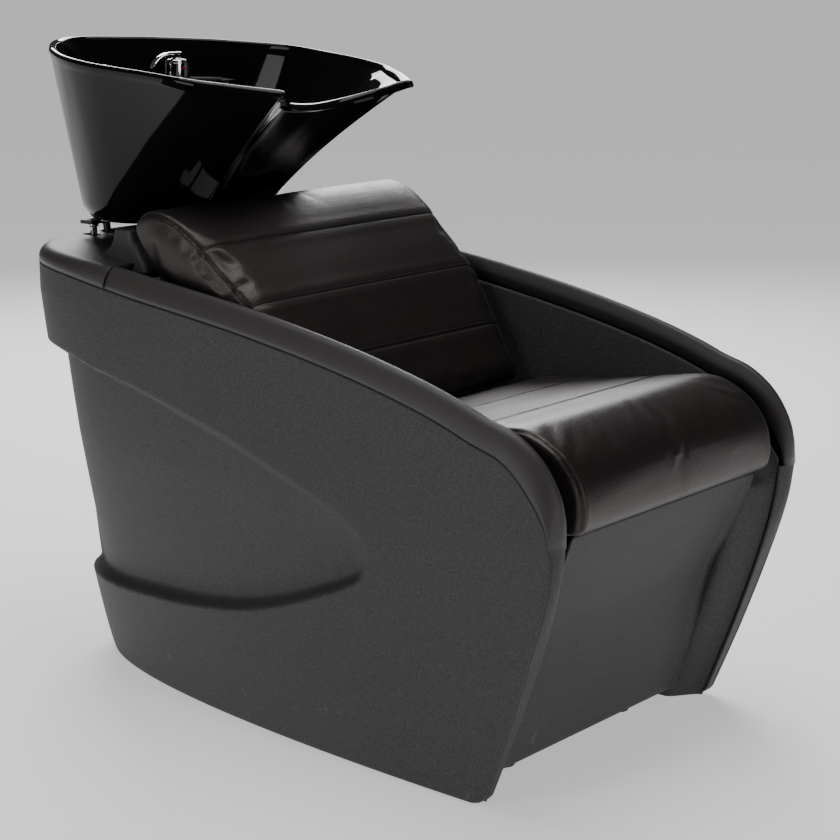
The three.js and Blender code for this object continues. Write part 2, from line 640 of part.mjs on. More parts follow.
// Arched lever; its heel rises off the cap steeply enough to lift by 22 degrees.
function mixerLever() {
  const crest = CAP_TOP + GAP;
  const outline = [
    [0, crest], [13, crest + 5.8], [10, crest + 8], [0, crest + 9], [-24, crest + 8], [-46, crest - 1],
    [-60, crest - 17], [-63, crest - 16], [-63, crest - 19], [-58, crest - 22], [-44, crest - 7],
    [-24, crest + 2], [-8, crest]];
  return bar(outline, (x, z, end) => [MX + x, MY + lerp(-8, 8, end), z]);
}
const mixerIndicator = () => {
  const g = new THREE.CylinderGeometry(2.6, 2.6, 1.6, 12);
  return g.translate(MX, MY - 21.2, LEDGE_Z + 20);
};
const [SX, SY] = SHOWER;
const showerSocket = () => ring(
  [[11.5, LEDGE_Z - 8], [13.4, LEDGE_Z - 8], [13.4, LEDGE_Z + 1], [17, LEDGE_Z + 1], [16, LEDGE_Z + 6],
    [11.5, LEDGE_Z + 6]], SX, SY, 18);
const handShower = () => join(
  rod(10.5, 896, LEDGE_Z + 8, 14, SX, SY),
  turned([[0, LEDGE_Z + 7], [14, LEDGE_Z + 7], [15, LEDGE_Z + 14], [13, LEDGE_Z + 24], [7, LEDGE_Z + 30],
    [0, LEDGE_Z + 31]], SX, SY, 0, 18));

// ---------------------------------------------------------------- access panel screws
function accessScrew(side, z) {
  const x = side * 118;
  const y = planY(x, z) - recessDepth(TOP_REAR, z) + 1.2;
  const g = new THREE.CylinderGeometry(7, 6, 2.6, 14);
  return g.translate(x, y + 1.8, z);
}

// ---------------------------------------------------------------- floor frame
const RAIL_TOP = FOOT_H + RAIL;
const rail = (side) => box(side * RAIL_X - 15, side * RAIL_X + 15, -440, 300, FOOT_H, RAIL_TOP);
const crossRail = (y) => box(-RAIL_X + 15 + GAP, RAIL_X - 15 - GAP, y - 15, y + 15, FOOT_H, RAIL_TOP);
const post = (side, y) => box(
  side * RAIL_X - 12, side * RAIL_X + 12, y - 12, y + 12, RAIL_TOP + GAP, 352);
const bearer = (side) => box(
  side * RAIL_X - 15, side * RAIL_X + 15, -520, -150, 352 + GAP, SEAT_Z - 16 - GAP);
const column = () => box(-30, 30, 285, 345, 12, COLUMN_TOP);
function backStrut(side) {
  const x = side * RAIL_X;
  const outline = [
    [-142, 352], [-112, 352], [-22, 436], [42, 492], [136, 568], [184, 618], [168, 634], [116, 586],
    [22, 512], [-42, 454], [-142, 364]];
  return bar(outline, (y, z, end) => [x + lerp(-12, 12, end), y, z]);
}
const levellingFoot = (x, y) => join(rod(18, 0, 7, 14, x, y), rod(5, 6, FOOT_H - GAP, 8, x, y));

// ---------------------------------------------------------------- assembly
const group = new THREE.Group();
function piece(name, geometry, color, roughness = 0.6, metalness = 0) {
  const material = new THREE.MeshStandardMaterial({ color, roughness, metalness });
  const mesh = new THREE.Mesh(geometry, material);
  mesh.name = name;
  group.add(mesh);
}
const SHELL = [0x3a3839, 0.7];
const CAP = [0x383432, 0.6];
const LEATHER = [0x141312, 0.35];
const BOARD = [0x9a7b52, 0.8];
const STEEL = [0x2b2c2e, 0.45, 0.8];
const CHROME = [0xd8dadd, 0.1, 1];
const SIDES = [["right", -1], ["left", 1]];
const handed = (side, g) => (side < 0 ? g : mirrored(g));

for (const [hand, side] of SIDES) {
  piece(`${hand}_side_shell`, handed(side, sideShell()), ...SHELL);
  piece(`${hand}_arm_cap`, handed(side, armCap()), ...CAP);
  piece(`${hand}_inner_panel`, handed(side, innerPanel()), ...SHELL);
  piece(`${hand}_mount_cheek`, handed(side, cheek()), ...CAP);
  piece(`${hand}_floor_rail`, rail(side), ...STEEL);
  piece(`${hand}_front_post`, post(side, -400), ...STEEL);
  piece(`${hand}_rear_post`, post(side, -190), ...STEEL);
  piece(`${hand}_seat_bearer`, bearer(side), ...STEEL);
  piece(`${hand}_back_strut`, backStrut(side), ...STEEL);
  piece(`${hand}_stay_rod`, stayRod(side), ...CHROME);
  piece(`${hand}_front_foot`, levellingFoot(side * RAIL_X, -415), 0x17171a, 0.8);
  piece(`${hand}_rear_foot`, levellingFoot(side * RAIL_X, 272), 0x17171a, 0.8);
}
piece("rear_access_panel", accessPanel(), ...SHELL);
piece("rear_deck", rearDeck(), ...CAP);
piece("front_fascia", frontFascia(), ...SHELL);
piece("front_cross_rail", crossRail(-400), ...STEEL);
piece("rear_cross_rail", crossRail(265), ...STEEL);
piece("basin_column", column(), ...STEEL);
piece("pivot_yoke", yoke(), ...STEEL);
piece("seat_cushion", seatCushion(), ...LEATHER);
piece("seat_board", seatBoard(), ...BOARD);
piece("backrest_cushion", backCushion(), ...LEATHER);
piece("backrest_board", backBoard(), ...BOARD);
piece("waste_spigot", wasteSpigot(), 0x1b1b1d, 0.6);
piece("waste_hose", wasteHose(), 0x202022, 0.6);

piece("basin", basin(), 0x050506, 0.08);
piece("basin_saddle", saddle(), ...STEEL);
piece("pivot_pin", pivotPin(), ...STEEL);
piece("pivot_pin_nut", pinNut(), ...STEEL);
piece("waste_outlet", wasteOutlet(), ...CHROME);
piece("waste_nut", wasteNut(), 0x1b1b1d, 0.6);
piece("hair_strainer", strainer(), ...CHROME);
piece("mixer_body", mixerBody(), ...CHROME);
piece("mixer_cap", mixerCap(), ...CHROME);
piece("mixer_lever", mixerLever(), ...CHROME);
piece("temperature_dot", mixerIndicator(), 0xb01020, 0.3);
piece("shower_socket", showerSocket(), ...CHROME);
piece("hand_shower", handShower(), ...CHROME);
piece("shower_hose", showerHose(), 0x303134, 0.4, 0.5);
piece("hot_supply_hose", supplyHose(99, 64), 0x9a9ca0, 0.4, 0.8);
piece("cold_supply_hose", supplyHose(110, 84), 0x9a9ca0, 0.4, 0.8);
piece("hot_inlet", supplyInlet(64), 0xb89a4a, 0.35, 1);
piece("cold_inlet", supplyInlet(84), 0xb89a4a, 0.35, 1);
for (const [row, z] of [["lower", 70], ["upper", 620]]) {
  for (const [hand, side] of SIDES) {
    piece(`${row}_${hand}_screw`, accessScrew(side, z), 0x1a1a1c, 0.4, 0.8);
  }
}

export default group;
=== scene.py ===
"""Shampoo backwash unit: the looks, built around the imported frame. Metres, +Z up, the sitter faces -Y."""
import json
import math

import bmesh
import bpy
import numpy as np
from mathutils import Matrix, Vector
from mathutils.bvhtree import BVHTree

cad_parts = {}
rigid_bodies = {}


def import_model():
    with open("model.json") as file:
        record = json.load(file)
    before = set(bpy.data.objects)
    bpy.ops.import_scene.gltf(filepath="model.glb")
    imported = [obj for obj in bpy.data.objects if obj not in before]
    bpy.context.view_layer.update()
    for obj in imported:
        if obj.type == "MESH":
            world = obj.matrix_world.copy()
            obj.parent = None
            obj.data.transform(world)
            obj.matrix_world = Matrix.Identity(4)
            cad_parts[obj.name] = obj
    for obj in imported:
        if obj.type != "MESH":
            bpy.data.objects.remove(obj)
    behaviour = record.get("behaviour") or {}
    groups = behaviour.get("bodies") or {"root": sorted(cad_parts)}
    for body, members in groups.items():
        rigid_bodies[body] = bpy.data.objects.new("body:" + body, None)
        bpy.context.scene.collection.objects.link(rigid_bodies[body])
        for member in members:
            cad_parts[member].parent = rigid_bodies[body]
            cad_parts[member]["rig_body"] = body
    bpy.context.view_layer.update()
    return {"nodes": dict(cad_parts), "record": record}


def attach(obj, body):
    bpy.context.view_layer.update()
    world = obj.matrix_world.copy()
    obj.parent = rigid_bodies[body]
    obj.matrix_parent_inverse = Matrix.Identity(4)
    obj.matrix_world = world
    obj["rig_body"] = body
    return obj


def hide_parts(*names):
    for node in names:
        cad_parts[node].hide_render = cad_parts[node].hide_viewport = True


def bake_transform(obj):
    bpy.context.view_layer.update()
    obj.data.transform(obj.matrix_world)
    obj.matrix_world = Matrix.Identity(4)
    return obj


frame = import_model()
MM = 0.001

# ---------------------------------------------------------------- sizes shared with the frame, in mm
GAP = 0.4
WALL = 5
FLOOR_LIFT = 3
PLAN_FRONT = -625
TOP_HALF = 325
FOOT_HALF = 304
TOP_REAR = 518
FOOT_REAR = 480
PANEL_HALF = 140
CAP_WIDTH = 37
CAP_REAR = 225
KNEE_Y, KNEE_Z = -616, 400
SEAT_Z = 398
SEAT_HALF = 256
BASIN_FLOOR = 736
WASTE_Y = 398
LEDGE_Z = 948
INNER_TOP = 286
ROD_X, ROD_Y = 142, 442
MIXER_X, MIXER_Y = 106, 492
SHOWER_X, SHOWER_Y = -38, 520


# ---------------------------------------------------------------- numbers and outlines
def lerp(a, b, t):
    return a + (b - a) * t


def smooth(a, b, x):
    t = np.clip((x - a) / (b - a), 0, 1)
    return t * t * (3 - 2 * t)


def spline(points, x):
    """A curve through the given (x, value) points, smooth and without overshoot."""
    xs = np.array([p[0] for p in points], float)
    ys = np.array([p[1] for p in points], float)
    step = np.diff(ys) / np.diff(xs)
    slope = np.concatenate([[step[0]], (step[1:] + step[:-1]) / 2, [step[-1]]])
    turning = np.concatenate([[False], step[1:] * step[:-1] <= 0, [False]])
    slope[turning] = 0
    x = np.clip(x, xs[0], xs[-1])
    k = np.clip(np.searchsorted(xs, x) - 1, 0, len(xs) - 2)
    width = xs[k + 1] - xs[k]
    t = (x - xs[k]) / width
    return ((1 + 2 * t) * (1 - t) ** 2 * ys[k] + t * (1 - t) ** 2 * width * slope[k]
            + t * t * (3 - 2 * t) * ys[k + 1] + t * t * (t - 1) * width * slope[k + 1])


def through(points, count, closed=False):
    """Evenly spaced points on a Catmull-Rom curve through the given ones."""
    p = np.array(points, float)
    if closed:
        p = np.concatenate([p[-1:], p, p[:2]])
    else:
        p = np.concatenate([2 * p[:1] - p[1:2], p, 2 * p[-1:] - p[-2:-1]])
    t = np.linspace(0, 1, 24, endpoint=False)[:, None]
    runs = []
    for a, b, c, d in zip(p[:-3], p[1:-2], p[2:-1], p[3:]):
        runs.append(0.5 * (2 * b + (c - a) * t + (2 * a - 5 * b + 4 * c - d) * t ** 2
                           + (3 * b - a - 3 * c + d) * t ** 3))
    dense = np.concatenate(runs + [p[-2:-1]])
    length = np.concatenate([[0], np.cumsum(np.linalg.norm(np.diff(dense, axis=0), axis=1))])
    at = np.linspace(0, length[-1], count, endpoint=not closed)
    return np.stack([np.interp(at, length, dense[:, k]) for k in range(dense.shape[1])], 1)


# ---------------------------------------------------------------- casing surface
def plan_shape(z):
    t = np.clip(z / 640, 0, 1)
    half = lerp(FOOT_HALF, TOP_HALF, np.clip(z / 400, 0, 1))
    rear = lerp(FOOT_REAR, TOP_REAR, smooth(0, 1, np.sqrt(t)))
    return half, rear, 1.85 * (15 / 1.85) ** (t ** 0.75), lerp(3, 2, t)


def plan_y(x, z):
    half, rear, p, q = plan_shape(z)
    side = np.clip(np.abs(x) / half, 0, 1) ** q
    return PLAN_FRONT + (rear - PLAN_FRONT) * np.clip(1 - side, 0, 1) ** (1 / p)


def plan_x(y, z):
    half, rear, p, q = plan_shape(z)
    along = np.clip((y - PLAN_FRONT) / (rear - PLAN_FRONT), 0, 1) ** p
    return half * np.clip(1 - along, 0, 1) ** (1 / q)


def plan_normal(x, y, z):
    half, rear, p, q = plan_shape(z)
    u = np.clip((y - PLAN_FRONT) / (rear - PLAN_FRONT), 0, 1)
    gx = q * np.clip(x / half, 0, 1) ** (q - 1) / half
    gy = p * u ** (p - 1) / (rear - PLAN_FRONT)
    size = np.hypot(gx, gy)
    return -gx / size, -gy / size


def plan_point(front, share, z, limit_x=PANEL_HALF + GAP):
    """Point at a share of the plan curve's length, from y = front to x = limit_x."""
    front, share, z = (np.asarray(v, float) for v in np.broadcast_arrays(front, share, z))
    a = np.linspace(0, 1, 200) ** 0.6
    y = lerp(front[..., None], plan_y(limit_x, z)[..., None], a)
    x = plan_x(y, z[..., None])
    run = np.hypot(np.diff(x, axis=-1), np.diff(y, axis=-1))
    run = np.concatenate([np.zeros(run.shape[:-1] + (1,)), np.cumsum(run, axis=-1)], -1)
    flat = [v.reshape(-1, v.shape[-1]) for v in (x, y, run)]
    target = share.reshape(-1) * flat[2][:, -1]
    px = np.array([np.interp(t, r, v) for t, r, v in zip(target, flat[2], flat[0])])
    py = np.array([np.interp(t, r, v) for t, r, v in zip(target, flat[2], flat[1])])
    return px.reshape(share.shape), py.reshape(share.shape)


CREASE = [(-545, 500), (-449, 541), (-307, 581), (-79, 624), (160, 655), (352, 680), (518, 687)]
FRONT_EDGE = [(3, -493), (150, -550), (283, -594), (350, -610), (400, -616)]
KNEE_RISE = [(0, 400), (3, 418), (15, 442), (36, 468), (71, 500), (167, 541)]
KNEE_RUN = 1330


def crease_z(y):
    return spline(CREASE, y)


def front_y(z):
    return spline(FRONT_EDGE, z)


NOSE_Y, NOSE_RUN = -305, 43
RECESS_TOP = [(NOSE_Y, 338), (-289, 365), (-262, 383), (-216, 405), (-138, 434), (-89, 451), (-29, 472),
              (50, 492),
              (129, 511), (197, 525), (270, 537), (323, 549), (TOP_REAR, 562)]
RECESS_FOOT = [(NOSE_Y, 338), (-290, 306), (-256, 281), (-207, 259), (-135, 230), (-59, 206), (21, 190),
               (95, 180),
               (189, 172), (285, 162), (350, 157), (TOP_REAR, 148)]


def recess_depth(y, z):
    """Depth of the scooped recess: a crisp ledge below, a soft crease above and a rounded nose."""
    foot, top = spline(RECESS_FOOT, y), spline(RECESS_TOP, y)
    v = np.clip((z - foot) / np.maximum(top - foot, 1), 0, 1)
    high = 4 + 24 * smooth(-100, 300, y)
    ledge = np.sin(np.clip((z - foot) / 20, 0, 1) * math.pi / 2)
    return lerp(24, high, v) * smooth(0, NOSE_RUN, y - NOSE_Y) * ledge * smooth(0, 14, top - z)


# ---------------------------------------------------------------- meshes
def mesh_object(name, points, faces, material, smooth_faces=True, body="root"):
    mesh = bpy.data.meshes.new(name)
    mesh.from_pydata([tuple(p) for p in points], [], [tuple(int(i) for i in f) for f in faces])
    work = bmesh.new()
    work.from_mesh(mesh)
    bmesh.ops.remove_doubles(work, verts=work.verts, dist=1e-6)
    bmesh.ops.recalc_face_normals(work, faces=work.faces)
    work.to_mesh(mesh)
    work.free()
    mesh.polygons.foreach_set("use_smooth", [smooth_faces] * len(mesh.polygons))
    piece = bpy.data.objects.new(name, mesh)
    bpy.context.scene.collection.objects.link(piece)
    mesh.materials.append(material)
    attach(piece, body)
    return piece


def grid_faces(rows, cols, close_rows=False, close_cols=False, offset=0):
    i, j = np.meshgrid(np.arange(rows - (not close_rows)), np.arange(cols - (not close_cols)), indexing="ij")
    a, b = i % rows, (i + 1) % rows
    c, d = j % cols, (j + 1) % cols
    quads = np.stack([a * cols + c, b * cols + c, b * cols + d, a * cols + d], -1)
    return (quads.reshape(-1, 4) + offset).tolist()


def walled(front, back):
    """Points and faces of a closed wall between two equal grids of points."""
    rows, cols = front.shape[:2]
    count = rows * cols
    points = np.concatenate([front.reshape(-1, 3), back.reshape(-1, 3)])
    faces = grid_faces(rows, cols) + [f[::-1] for f in grid_faces(rows, cols, offset=count)]
    edge = ([(i, 0) for i in range(rows)] + [(rows - 1, j) for j in range(1, cols)]
            + [(i, cols - 1) for i in range(rows - 2, -1, -1)] + [(0, j) for j in range(cols - 2, 0, -1)])
    ring = [i * cols + j for i, j in edge]
    for a, b in zip(ring, ring[1:] + ring[:1]):
        faces.append([b, a, a + count, b + count])
    return points * MM, faces


def lofted(rings, close=True):
    """Points and faces of rings joined in order, with a fan on each end."""
    rings = np.asarray(rings, float)
    rows, cols = rings.shape[:2]
    points = np.concatenate([rings.reshape(-1, 3), rings[:1].mean(1), rings[-1:].mean(1)])
    faces = grid_faces(rows, cols, close_cols=True)
    if close:
        first, last = rows * cols, rows * cols + 1
        for j in range(cols):
            k = (j + 1) % cols
            faces.append([first, k, j])
            faces.append([last, (rows - 1) * cols + j, (rows - 1) * cols + k])
    return points * MM, faces


def flipped(points):
    return points * np.array([-1.0, 1.0, 1.0])


# ---------------------------------------------------------------- shader helpers
class Value:
    """A shader socket that can be used in sums; each operation adds a Math node."""

    def __init__(self, finish, socket):
        self.finish = finish
        self.socket = socket

    def math(self, operation, first, second=0.0):
        return self.finish.add("ShaderNodeMath", {"operation": operation}, {0: first, 1: second})

    def __add__(self, other):
        return self.math("ADD", self, other)

    def __sub__(self, other):
        return self.math("SUBTRACT", self, other)

    def __rsub__(self, other):
        return self.math("SUBTRACT", other, self)

    def __mul__(self, other):
        return self.math("MULTIPLY", self, other)

    __radd__ = __add__
    __rmul__ = __mul__

    def above(self, low, high):
        """0 below low, 1 above high, smooth between."""
        return self.finish.add("ShaderNodeMapRange", {"interpolation_type": "SMOOTHSTEP"},
                               {"Value": self, "From Min": low, "From Max": high})


class Finish:
    """One material: a Principled shader with fixed values, and what varies over the surface."""

    def __init__(self, name, color, roughness, **fixed):
        self.material = bpy.data.materials.new(name)
        self.material.use_nodes = True
        self.tree = self.material.node_tree
        self.shader = self.tree.nodes["Principled BSDF"]
        self.shader.inputs["Base Color"].default_value = (*color, 1)
        self.shader.inputs["Roughness"].default_value = roughness
        for socket, value in fixed.items():
            self.shader.inputs[socket.replace("_", " ")].default_value = value
        self.material.diffuse_color = (*color, 1)

    def add(self, kind, settings, inputs, output=0):
        node = self.tree.nodes.new(kind)
        for key, value in settings.items():
            setattr(node, key, value)
        for key, value in inputs.items():
            if isinstance(value, Value):
                self.tree.links.new(value.socket, node.inputs[key])
            else:
                node.inputs[key].default_value = value
        return Value(self, node.outputs[output])

    def place(self, scale=(1, 1, 1)):
        at = self.add("ShaderNodeTexCoord", {}, {}, "Object")
        return self.add("ShaderNodeMapping", {}, {"Vector": at, "Scale": scale})

    def height(self):
        return self.add("ShaderNodeSeparateXYZ", {}, {0: self.place()}, "Z")

    def noise(self, scale, detail=2.0, rough=0.5, stretch=(1, 1, 1)):
        return self.add("ShaderNodeTexNoise", {}, {
            "Vector": self.place(stretch), "Scale": scale, "Detail": detail, "Roughness": rough})

    def cells(self, scale, feature="F1", output="Distance"):
        return self.add("ShaderNodeTexVoronoi", {"feature": feature},
                        {"Vector": self.place(), "Scale": scale}, output)

    def mix(self, factor, a, b):
        return self.add("ShaderNodeMix", {"data_type": "RGBA"},
                        {"Factor": factor, 6: (*a, 1) if isinstance(a, tuple) else a,
                         7: (*b, 1) if isinstance(b, tuple) else b}, 2)

    def drive(self, socket, value):
        self.tree.links.new(value.socket, self.shader.inputs[socket])

    def relief(self, value, distance, strength=1.0):
        self.drive("Normal", self.add("ShaderNodeBump", {}, {
            "Height": value, "Distance": distance, "Strength": strength}))


def shaded(color, factor):
    return tuple(c * factor for c in color)


def grained_shell():
    color = (0.036, 0.0335, 0.0345)
    finish = Finish("grained_shell", color, 0.6, Specular_IOR_Level=0.45)
    speckle = finish.noise(330, 3, 0.75)
    grain = finish.cells(360)
    broad = finish.noise(5, 3)
    scuff = finish.noise(38, 5, 0.7).above(0.62, 0.72) * (1 - finish.height().above(0.02, 0.16))
    tone = finish.mix(speckle.above(0.38, 0.66), shaded(color, 0.62), shaded(color, 1.5))
    tone = finish.mix(broad * 0.25, tone, shaded(color, 0.8))
    finish.drive("Base Color", finish.mix(scuff * 0.45, tone, (0.13, 0.125, 0.12)))
    finish.drive("Roughness", 0.52 + speckle * 0.16 + broad * 0.06)
    finish.relief(grain * 0.6 + speckle * 0.7, 0.0006, 0.9)
    return finish.material


def satin_cap():
    color = (0.036, 0.0325, 0.031)
    finish = Finish("satin_cap", color, 0.5, Specular_IOR_Level=0.5)
    fine = finish.noise(1150, 2, 0.6)
    broad = finish.noise(7, 4)
    rubbed = finish.noise(26, 5, 0.65).above(0.6, 0.74)
    finish.drive("Base Color", finish.mix(fine.above(0.3, 0.7), shaded(color, 0.86), shaded(color, 1.14)))
    finish.drive("Roughness", 0.4 + fine * 0.1 + broad * 0.1 - rubbed * 0.05)
    finish.relief(fine, 0.00022, 0.6)
    return finish.material


def black_leather():
    color = (0.0125, 0.0108, 0.0102)
    finish = Finish("black_leather", color, 0.36, Specular_IOR_Level=0.5, Specular_Tint=(1, 0.9, 0.86, 1))
    pebble = finish.cells(420, "SMOOTH_F1")
    fold = finish.cells(150, "DISTANCE_TO_EDGE")
    pores = finish.noise(1300, 2)
    broad = finish.noise(6, 4, 0.6)
    rubbed = finish.noise(11, 5, 0.6).above(0.5, 0.75)
    tone = finish.mix(broad.above(0.35, 0.7), shaded(color, 0.85), (0.019, 0.0150, 0.0132))
    finish.drive("Base Color", finish.mix(pebble.above(0.2, 0.6), tone, shaded(color, 0.75)))
    finish.drive("Roughness", 0.31 + pores * 0.08 + pebble * 0.08 + rubbed * 0.07)
    finish.relief(fold.above(0.0, 0.12) * 0.35 + pebble * 0.8 + pores * 0.3, 0.0004, 0.6)
    return finish.material


def seam_thread():
    finish = Finish("seam_thread", (0.06, 0.056, 0.054), 0.6)
    twist = finish.noise(1600, 2, 0.5, (1, 1, 3))
    finish.drive("Base Color", finish.mix(twist, (0.04, 0.037, 0.036), (0.085, 0.08, 0.077)))
    finish.drive("Roughness", 0.5 + twist * 0.2)
    return finish.material


def black_glaze():
    finish = Finish("black_glaze", (0.0035, 0.0033, 0.0038), 0.05, Specular_IOR_Level=0.2)
    ripple = finish.noise(22, 2, 0.4)
    pits = finish.noise(420, 2).above(0.78, 0.84)
    film = finish.noise(9, 4, 0.6)
    finish.drive("Base Color", finish.mix(pits, (0.0035, 0.0033, 0.0038), (0.006, 0.006, 0.0065)))
    finish.drive("Roughness", 0.035 + film * 0.035 + pits * 0.1)
    finish.relief(ripple, 0.0006, 0.12)
    return finish.material


def polished_chrome():
    finish = Finish("polished_chrome", (0.78, 0.79, 0.8), 0.07, Metallic=1.0)
    haze = finish.noise(60, 4, 0.6)
    scratch = finish.noise(700, 2, 0.6, (1, 1, 0.04)).above(0.66, 0.72)
    finish.drive("Base Color", finish.mix(haze, (0.74, 0.75, 0.76), (0.83, 0.84, 0.85)))
    finish.drive("Roughness", 0.05 + haze * 0.05 + scratch * 0.08)
    return finish.material


def powder_coat():
    finish = Finish("powder_coat", (0.02, 0.02, 0.021), 0.45)
    peel = finish.noise(520, 2)
    chip = finish.noise(70, 5, 0.7).above(0.72, 0.76)
    finish.drive("Base Color", finish.mix(chip, (0.02, 0.02, 0.021), (0.09, 0.085, 0.08)))
    finish.drive("Roughness", 0.38 + peel * 0.15)
    finish.relief(peel, 0.0004, 0.5)
    return finish.material


def stained_plywood():
    """Birch plywood stained black; the plies show a little through the stain."""
    finish = Finish("stained_plywood", (0.03, 0.026, 0.022), 0.75)
    fibre = finish.noise(60, 5, 0.6, (1, 0.08, 1))
    plies = finish.noise(320, 1, 0.5, (0.02, 0.02, 1))
    tone = finish.mix(fibre, (0.02, 0.017, 0.015), (0.042, 0.036, 0.03))
    finish.drive("Base Color", finish.mix(plies * 0.4, tone, (0.012, 0.01, 0.009)))
    finish.drive("Roughness", 0.66 + fibre * 0.2)
    finish.relief(fibre, 0.0006, 0.5)
    return finish.material


def speckled(name, color, roughness, scale=500, depth=0.0003, **fixed):
    """A plain moulded or machined finish with fine colour, gloss and surface variation."""
    finish = Finish(name, color, roughness, **fixed)
    fine = finish.noise(scale, 3, 0.6)
    broad = finish.noise(12, 3)
    tone = finish.mix(fine, shaded(color, 0.8), shaded(color, 1.2))
    finish.drive("Base Color", finish.mix(broad * 0.3, tone, shaded(color, 0.7)))
    finish.drive("Roughness", roughness * 0.8 + fine * roughness * 0.25 + broad * 0.05)
    finish.relief(fine, depth, 0.5)
    return finish.material


def braided_steel():
    finish = Finish("braided_steel", (0.4, 0.41, 0.42), 0.35, Metallic=1.0)
    strand = finish.cells(420)
    # Painted shade: the base colour darkens from each strand cell's middle to its edge, standing in for
    # shade between the braid strands.
    finish.drive("Base Color", finish.mix(strand, (0.5, 0.51, 0.52), (0.12, 0.12, 0.125)))
    finish.drive("Roughness", 0.28 + strand * 0.3)
    finish.relief(1 - strand, 0.0006, 0.7)
    return finish.material


SHELL = grained_shell()
CAP = satin_cap()
LEATHER = black_leather()
THREAD = seam_thread()
GLAZE = black_glaze()
CHROME = polished_chrome()
STEEL = powder_coat()
PLY = stained_plywood()
RUBBER = speckled("foot_rubber", (0.013, 0.013, 0.013), 0.75, 700)
BLACK_PLASTIC = speckled("waste_plastic", (0.02, 0.02, 0.021), 0.5, 800)
HOSE = speckled("ribbed_hose", (0.028, 0.028, 0.03), 0.42, 900)
BRAID = braided_steel()
BRASS = speckled("turned_brass", (0.6, 0.43, 0.17), 0.3, 900, 0.0002, Metallic=1.0)
RED = speckled("red_dot", (0.55, 0.01, 0.02), 0.25, 900, 0.0001)
SCREW = speckled("black_screw", (0.02, 0.02, 0.021), 0.35, 900, 0.0002, Metallic=0.6)


# ---------------------------------------------------------------- casing pieces
TOE_ROUND = 16
FRONT_ROUND = 4
EDGE_ROUND = 3


def toe(z):
    """How far the toe's rounding draws the front edge back near the floor."""
    low = np.clip((TOE_ROUND - (z - FLOOR_LIFT)) / TOE_ROUND, 0, 1)
    return TOE_ROUND * (1 - np.sqrt(1 - low ** 2))


def front_bulge(z):
    """How far the front return is crowned forwards at a height."""
    return 8 * smooth(225, 370, z)


def crease_path(share):
    """Height of the top crease at a share of the plan curve's length."""
    low = spline([(d / KNEE_RUN, z) for d, z in KNEE_RISE], share)
    _, y = plan_point(KNEE_Y, share, np.full_like(share, 600.0))
    return lerp(low, crease_z(y), smooth(0.065, 0.122, share))


def shell_surface(inset):
    """Grid of points over the front return, the rounded front corner and the side."""
    v = np.concatenate([np.linspace(0, 0.985, 150), [0.99, 0.993, 0.9955, 0.9975, 0.999, 1]])
    rear = np.linspace(0, 1, 70) ** 1.2 * 0.13
    share = np.concatenate([rear, np.linspace(0.13, 1, 210)[1:]])
    top = crease_path(share)
    z = lerp(FLOOR_LIFT, top[:, None], v[None])
    column_z = lerp(FLOOR_LIFT, KNEE_Z, v)
    bow = front_y(column_z) - lerp(front_y(FLOOR_LIFT), KNEE_Y, v)
    corner = FRONT_ROUND * (1 - smooth(0.96, 1, v))
    start = lerp(front_y(FLOOR_LIFT), KNEE_Y, v) + bow + toe(column_z) + corner
    x, y = plan_point(np.broadcast_to(start, z.shape), np.broadcast_to(share[:, None], z.shape), z)
    nx, ny = plan_normal(x, y, z)
    nx = nx * smooth(PANEL_HALF, PANEL_HALF + 50, x)
    below = (1 - v[None]) * (top[:, None] - FLOOR_LIFT)
    rounding = EDGE_ROUND * (1 - np.sqrt(1 - np.clip(1 - below / EDGE_ROUND, 0, 1) ** 2))
    fade = smooth(0, 0.01, share)[:, None]
    depth = recess_depth(y, z) + inset + (rounding * fade if inset == 0 else 0)
    side = np.stack([-(x + nx * depth), y + ny * depth, z], -1)

    zf = column_z
    yf = front_y(zf) + toe(zf)
    xo = plan_x(yf + corner, zf) - inset
    groove_at = xo - corner - 3
    flange = []
    for t in np.concatenate([np.linspace(0, 0.8, 10), np.linspace(0.82, 1, 16)]):
        a = lerp(INNER_TOP - 4, xo - corner, t)
        across = (a - (INNER_TOP - 4)) / (xo - INNER_TOP + 4)
        bulge = front_bulge(zf) * (1 - (2 * across - 1) ** 2)
        groove = 1.5 * np.exp(-((a - groove_at) / 1.1) ** 2) * (inset == 0)
        flange.append(np.stack([-a, yf - bulge + groove + inset, zf], -1))
    for angle in np.radians([15, 30, 45, 60, 75, 90]):
        a = xo - corner + corner * np.sin(angle)
        across = (a - (INNER_TOP - 4)) / (xo - INNER_TOP + 4)
        bulge = front_bulge(zf) * (1 - (2 * across - 1) ** 2)
        flange.append(np.stack([-a, yf - bulge + corner * (1 - np.cos(angle)) + inset, zf], -1))
    return np.concatenate([np.array(flange), side])


def side_shells():
    front, back = shell_surface(0), shell_surface(WALL)
    points, faces = walled(front, back)
    for hand, place in (("right", points), ("left", flipped(points))):
        shell = mesh_object(f"{hand}_shell_skin", place, faces, SHELL)
        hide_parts(f"{hand}_side_shell")


def access_panel():
    x = np.linspace(-PANEL_HALF + 1, PANEL_HALF - 1, 60)
    z = np.linspace(FLOOR_LIFT, crease_z(TOP_REAR) - 1, 150)
    x, z = np.meshgrid(x, z, indexing="ij")
    edge = np.minimum(PANEL_HALF - 1 - np.abs(x), 3)
    rounding = 2.5 * (1 - np.sqrt(1 - (1 - edge / 3) ** 2))
    depth = recess_depth(np.full_like(x, TOP_REAR), z)
    front = np.stack([x, plan_y(x, z) - depth - rounding, z], -1)
    back = np.stack([x, plan_y(x, z) - depth - WALL, z], -1)
    panel = mesh_object("access_panel_skin", *walled(front, back), SHELL)
    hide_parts("rear_access_panel")


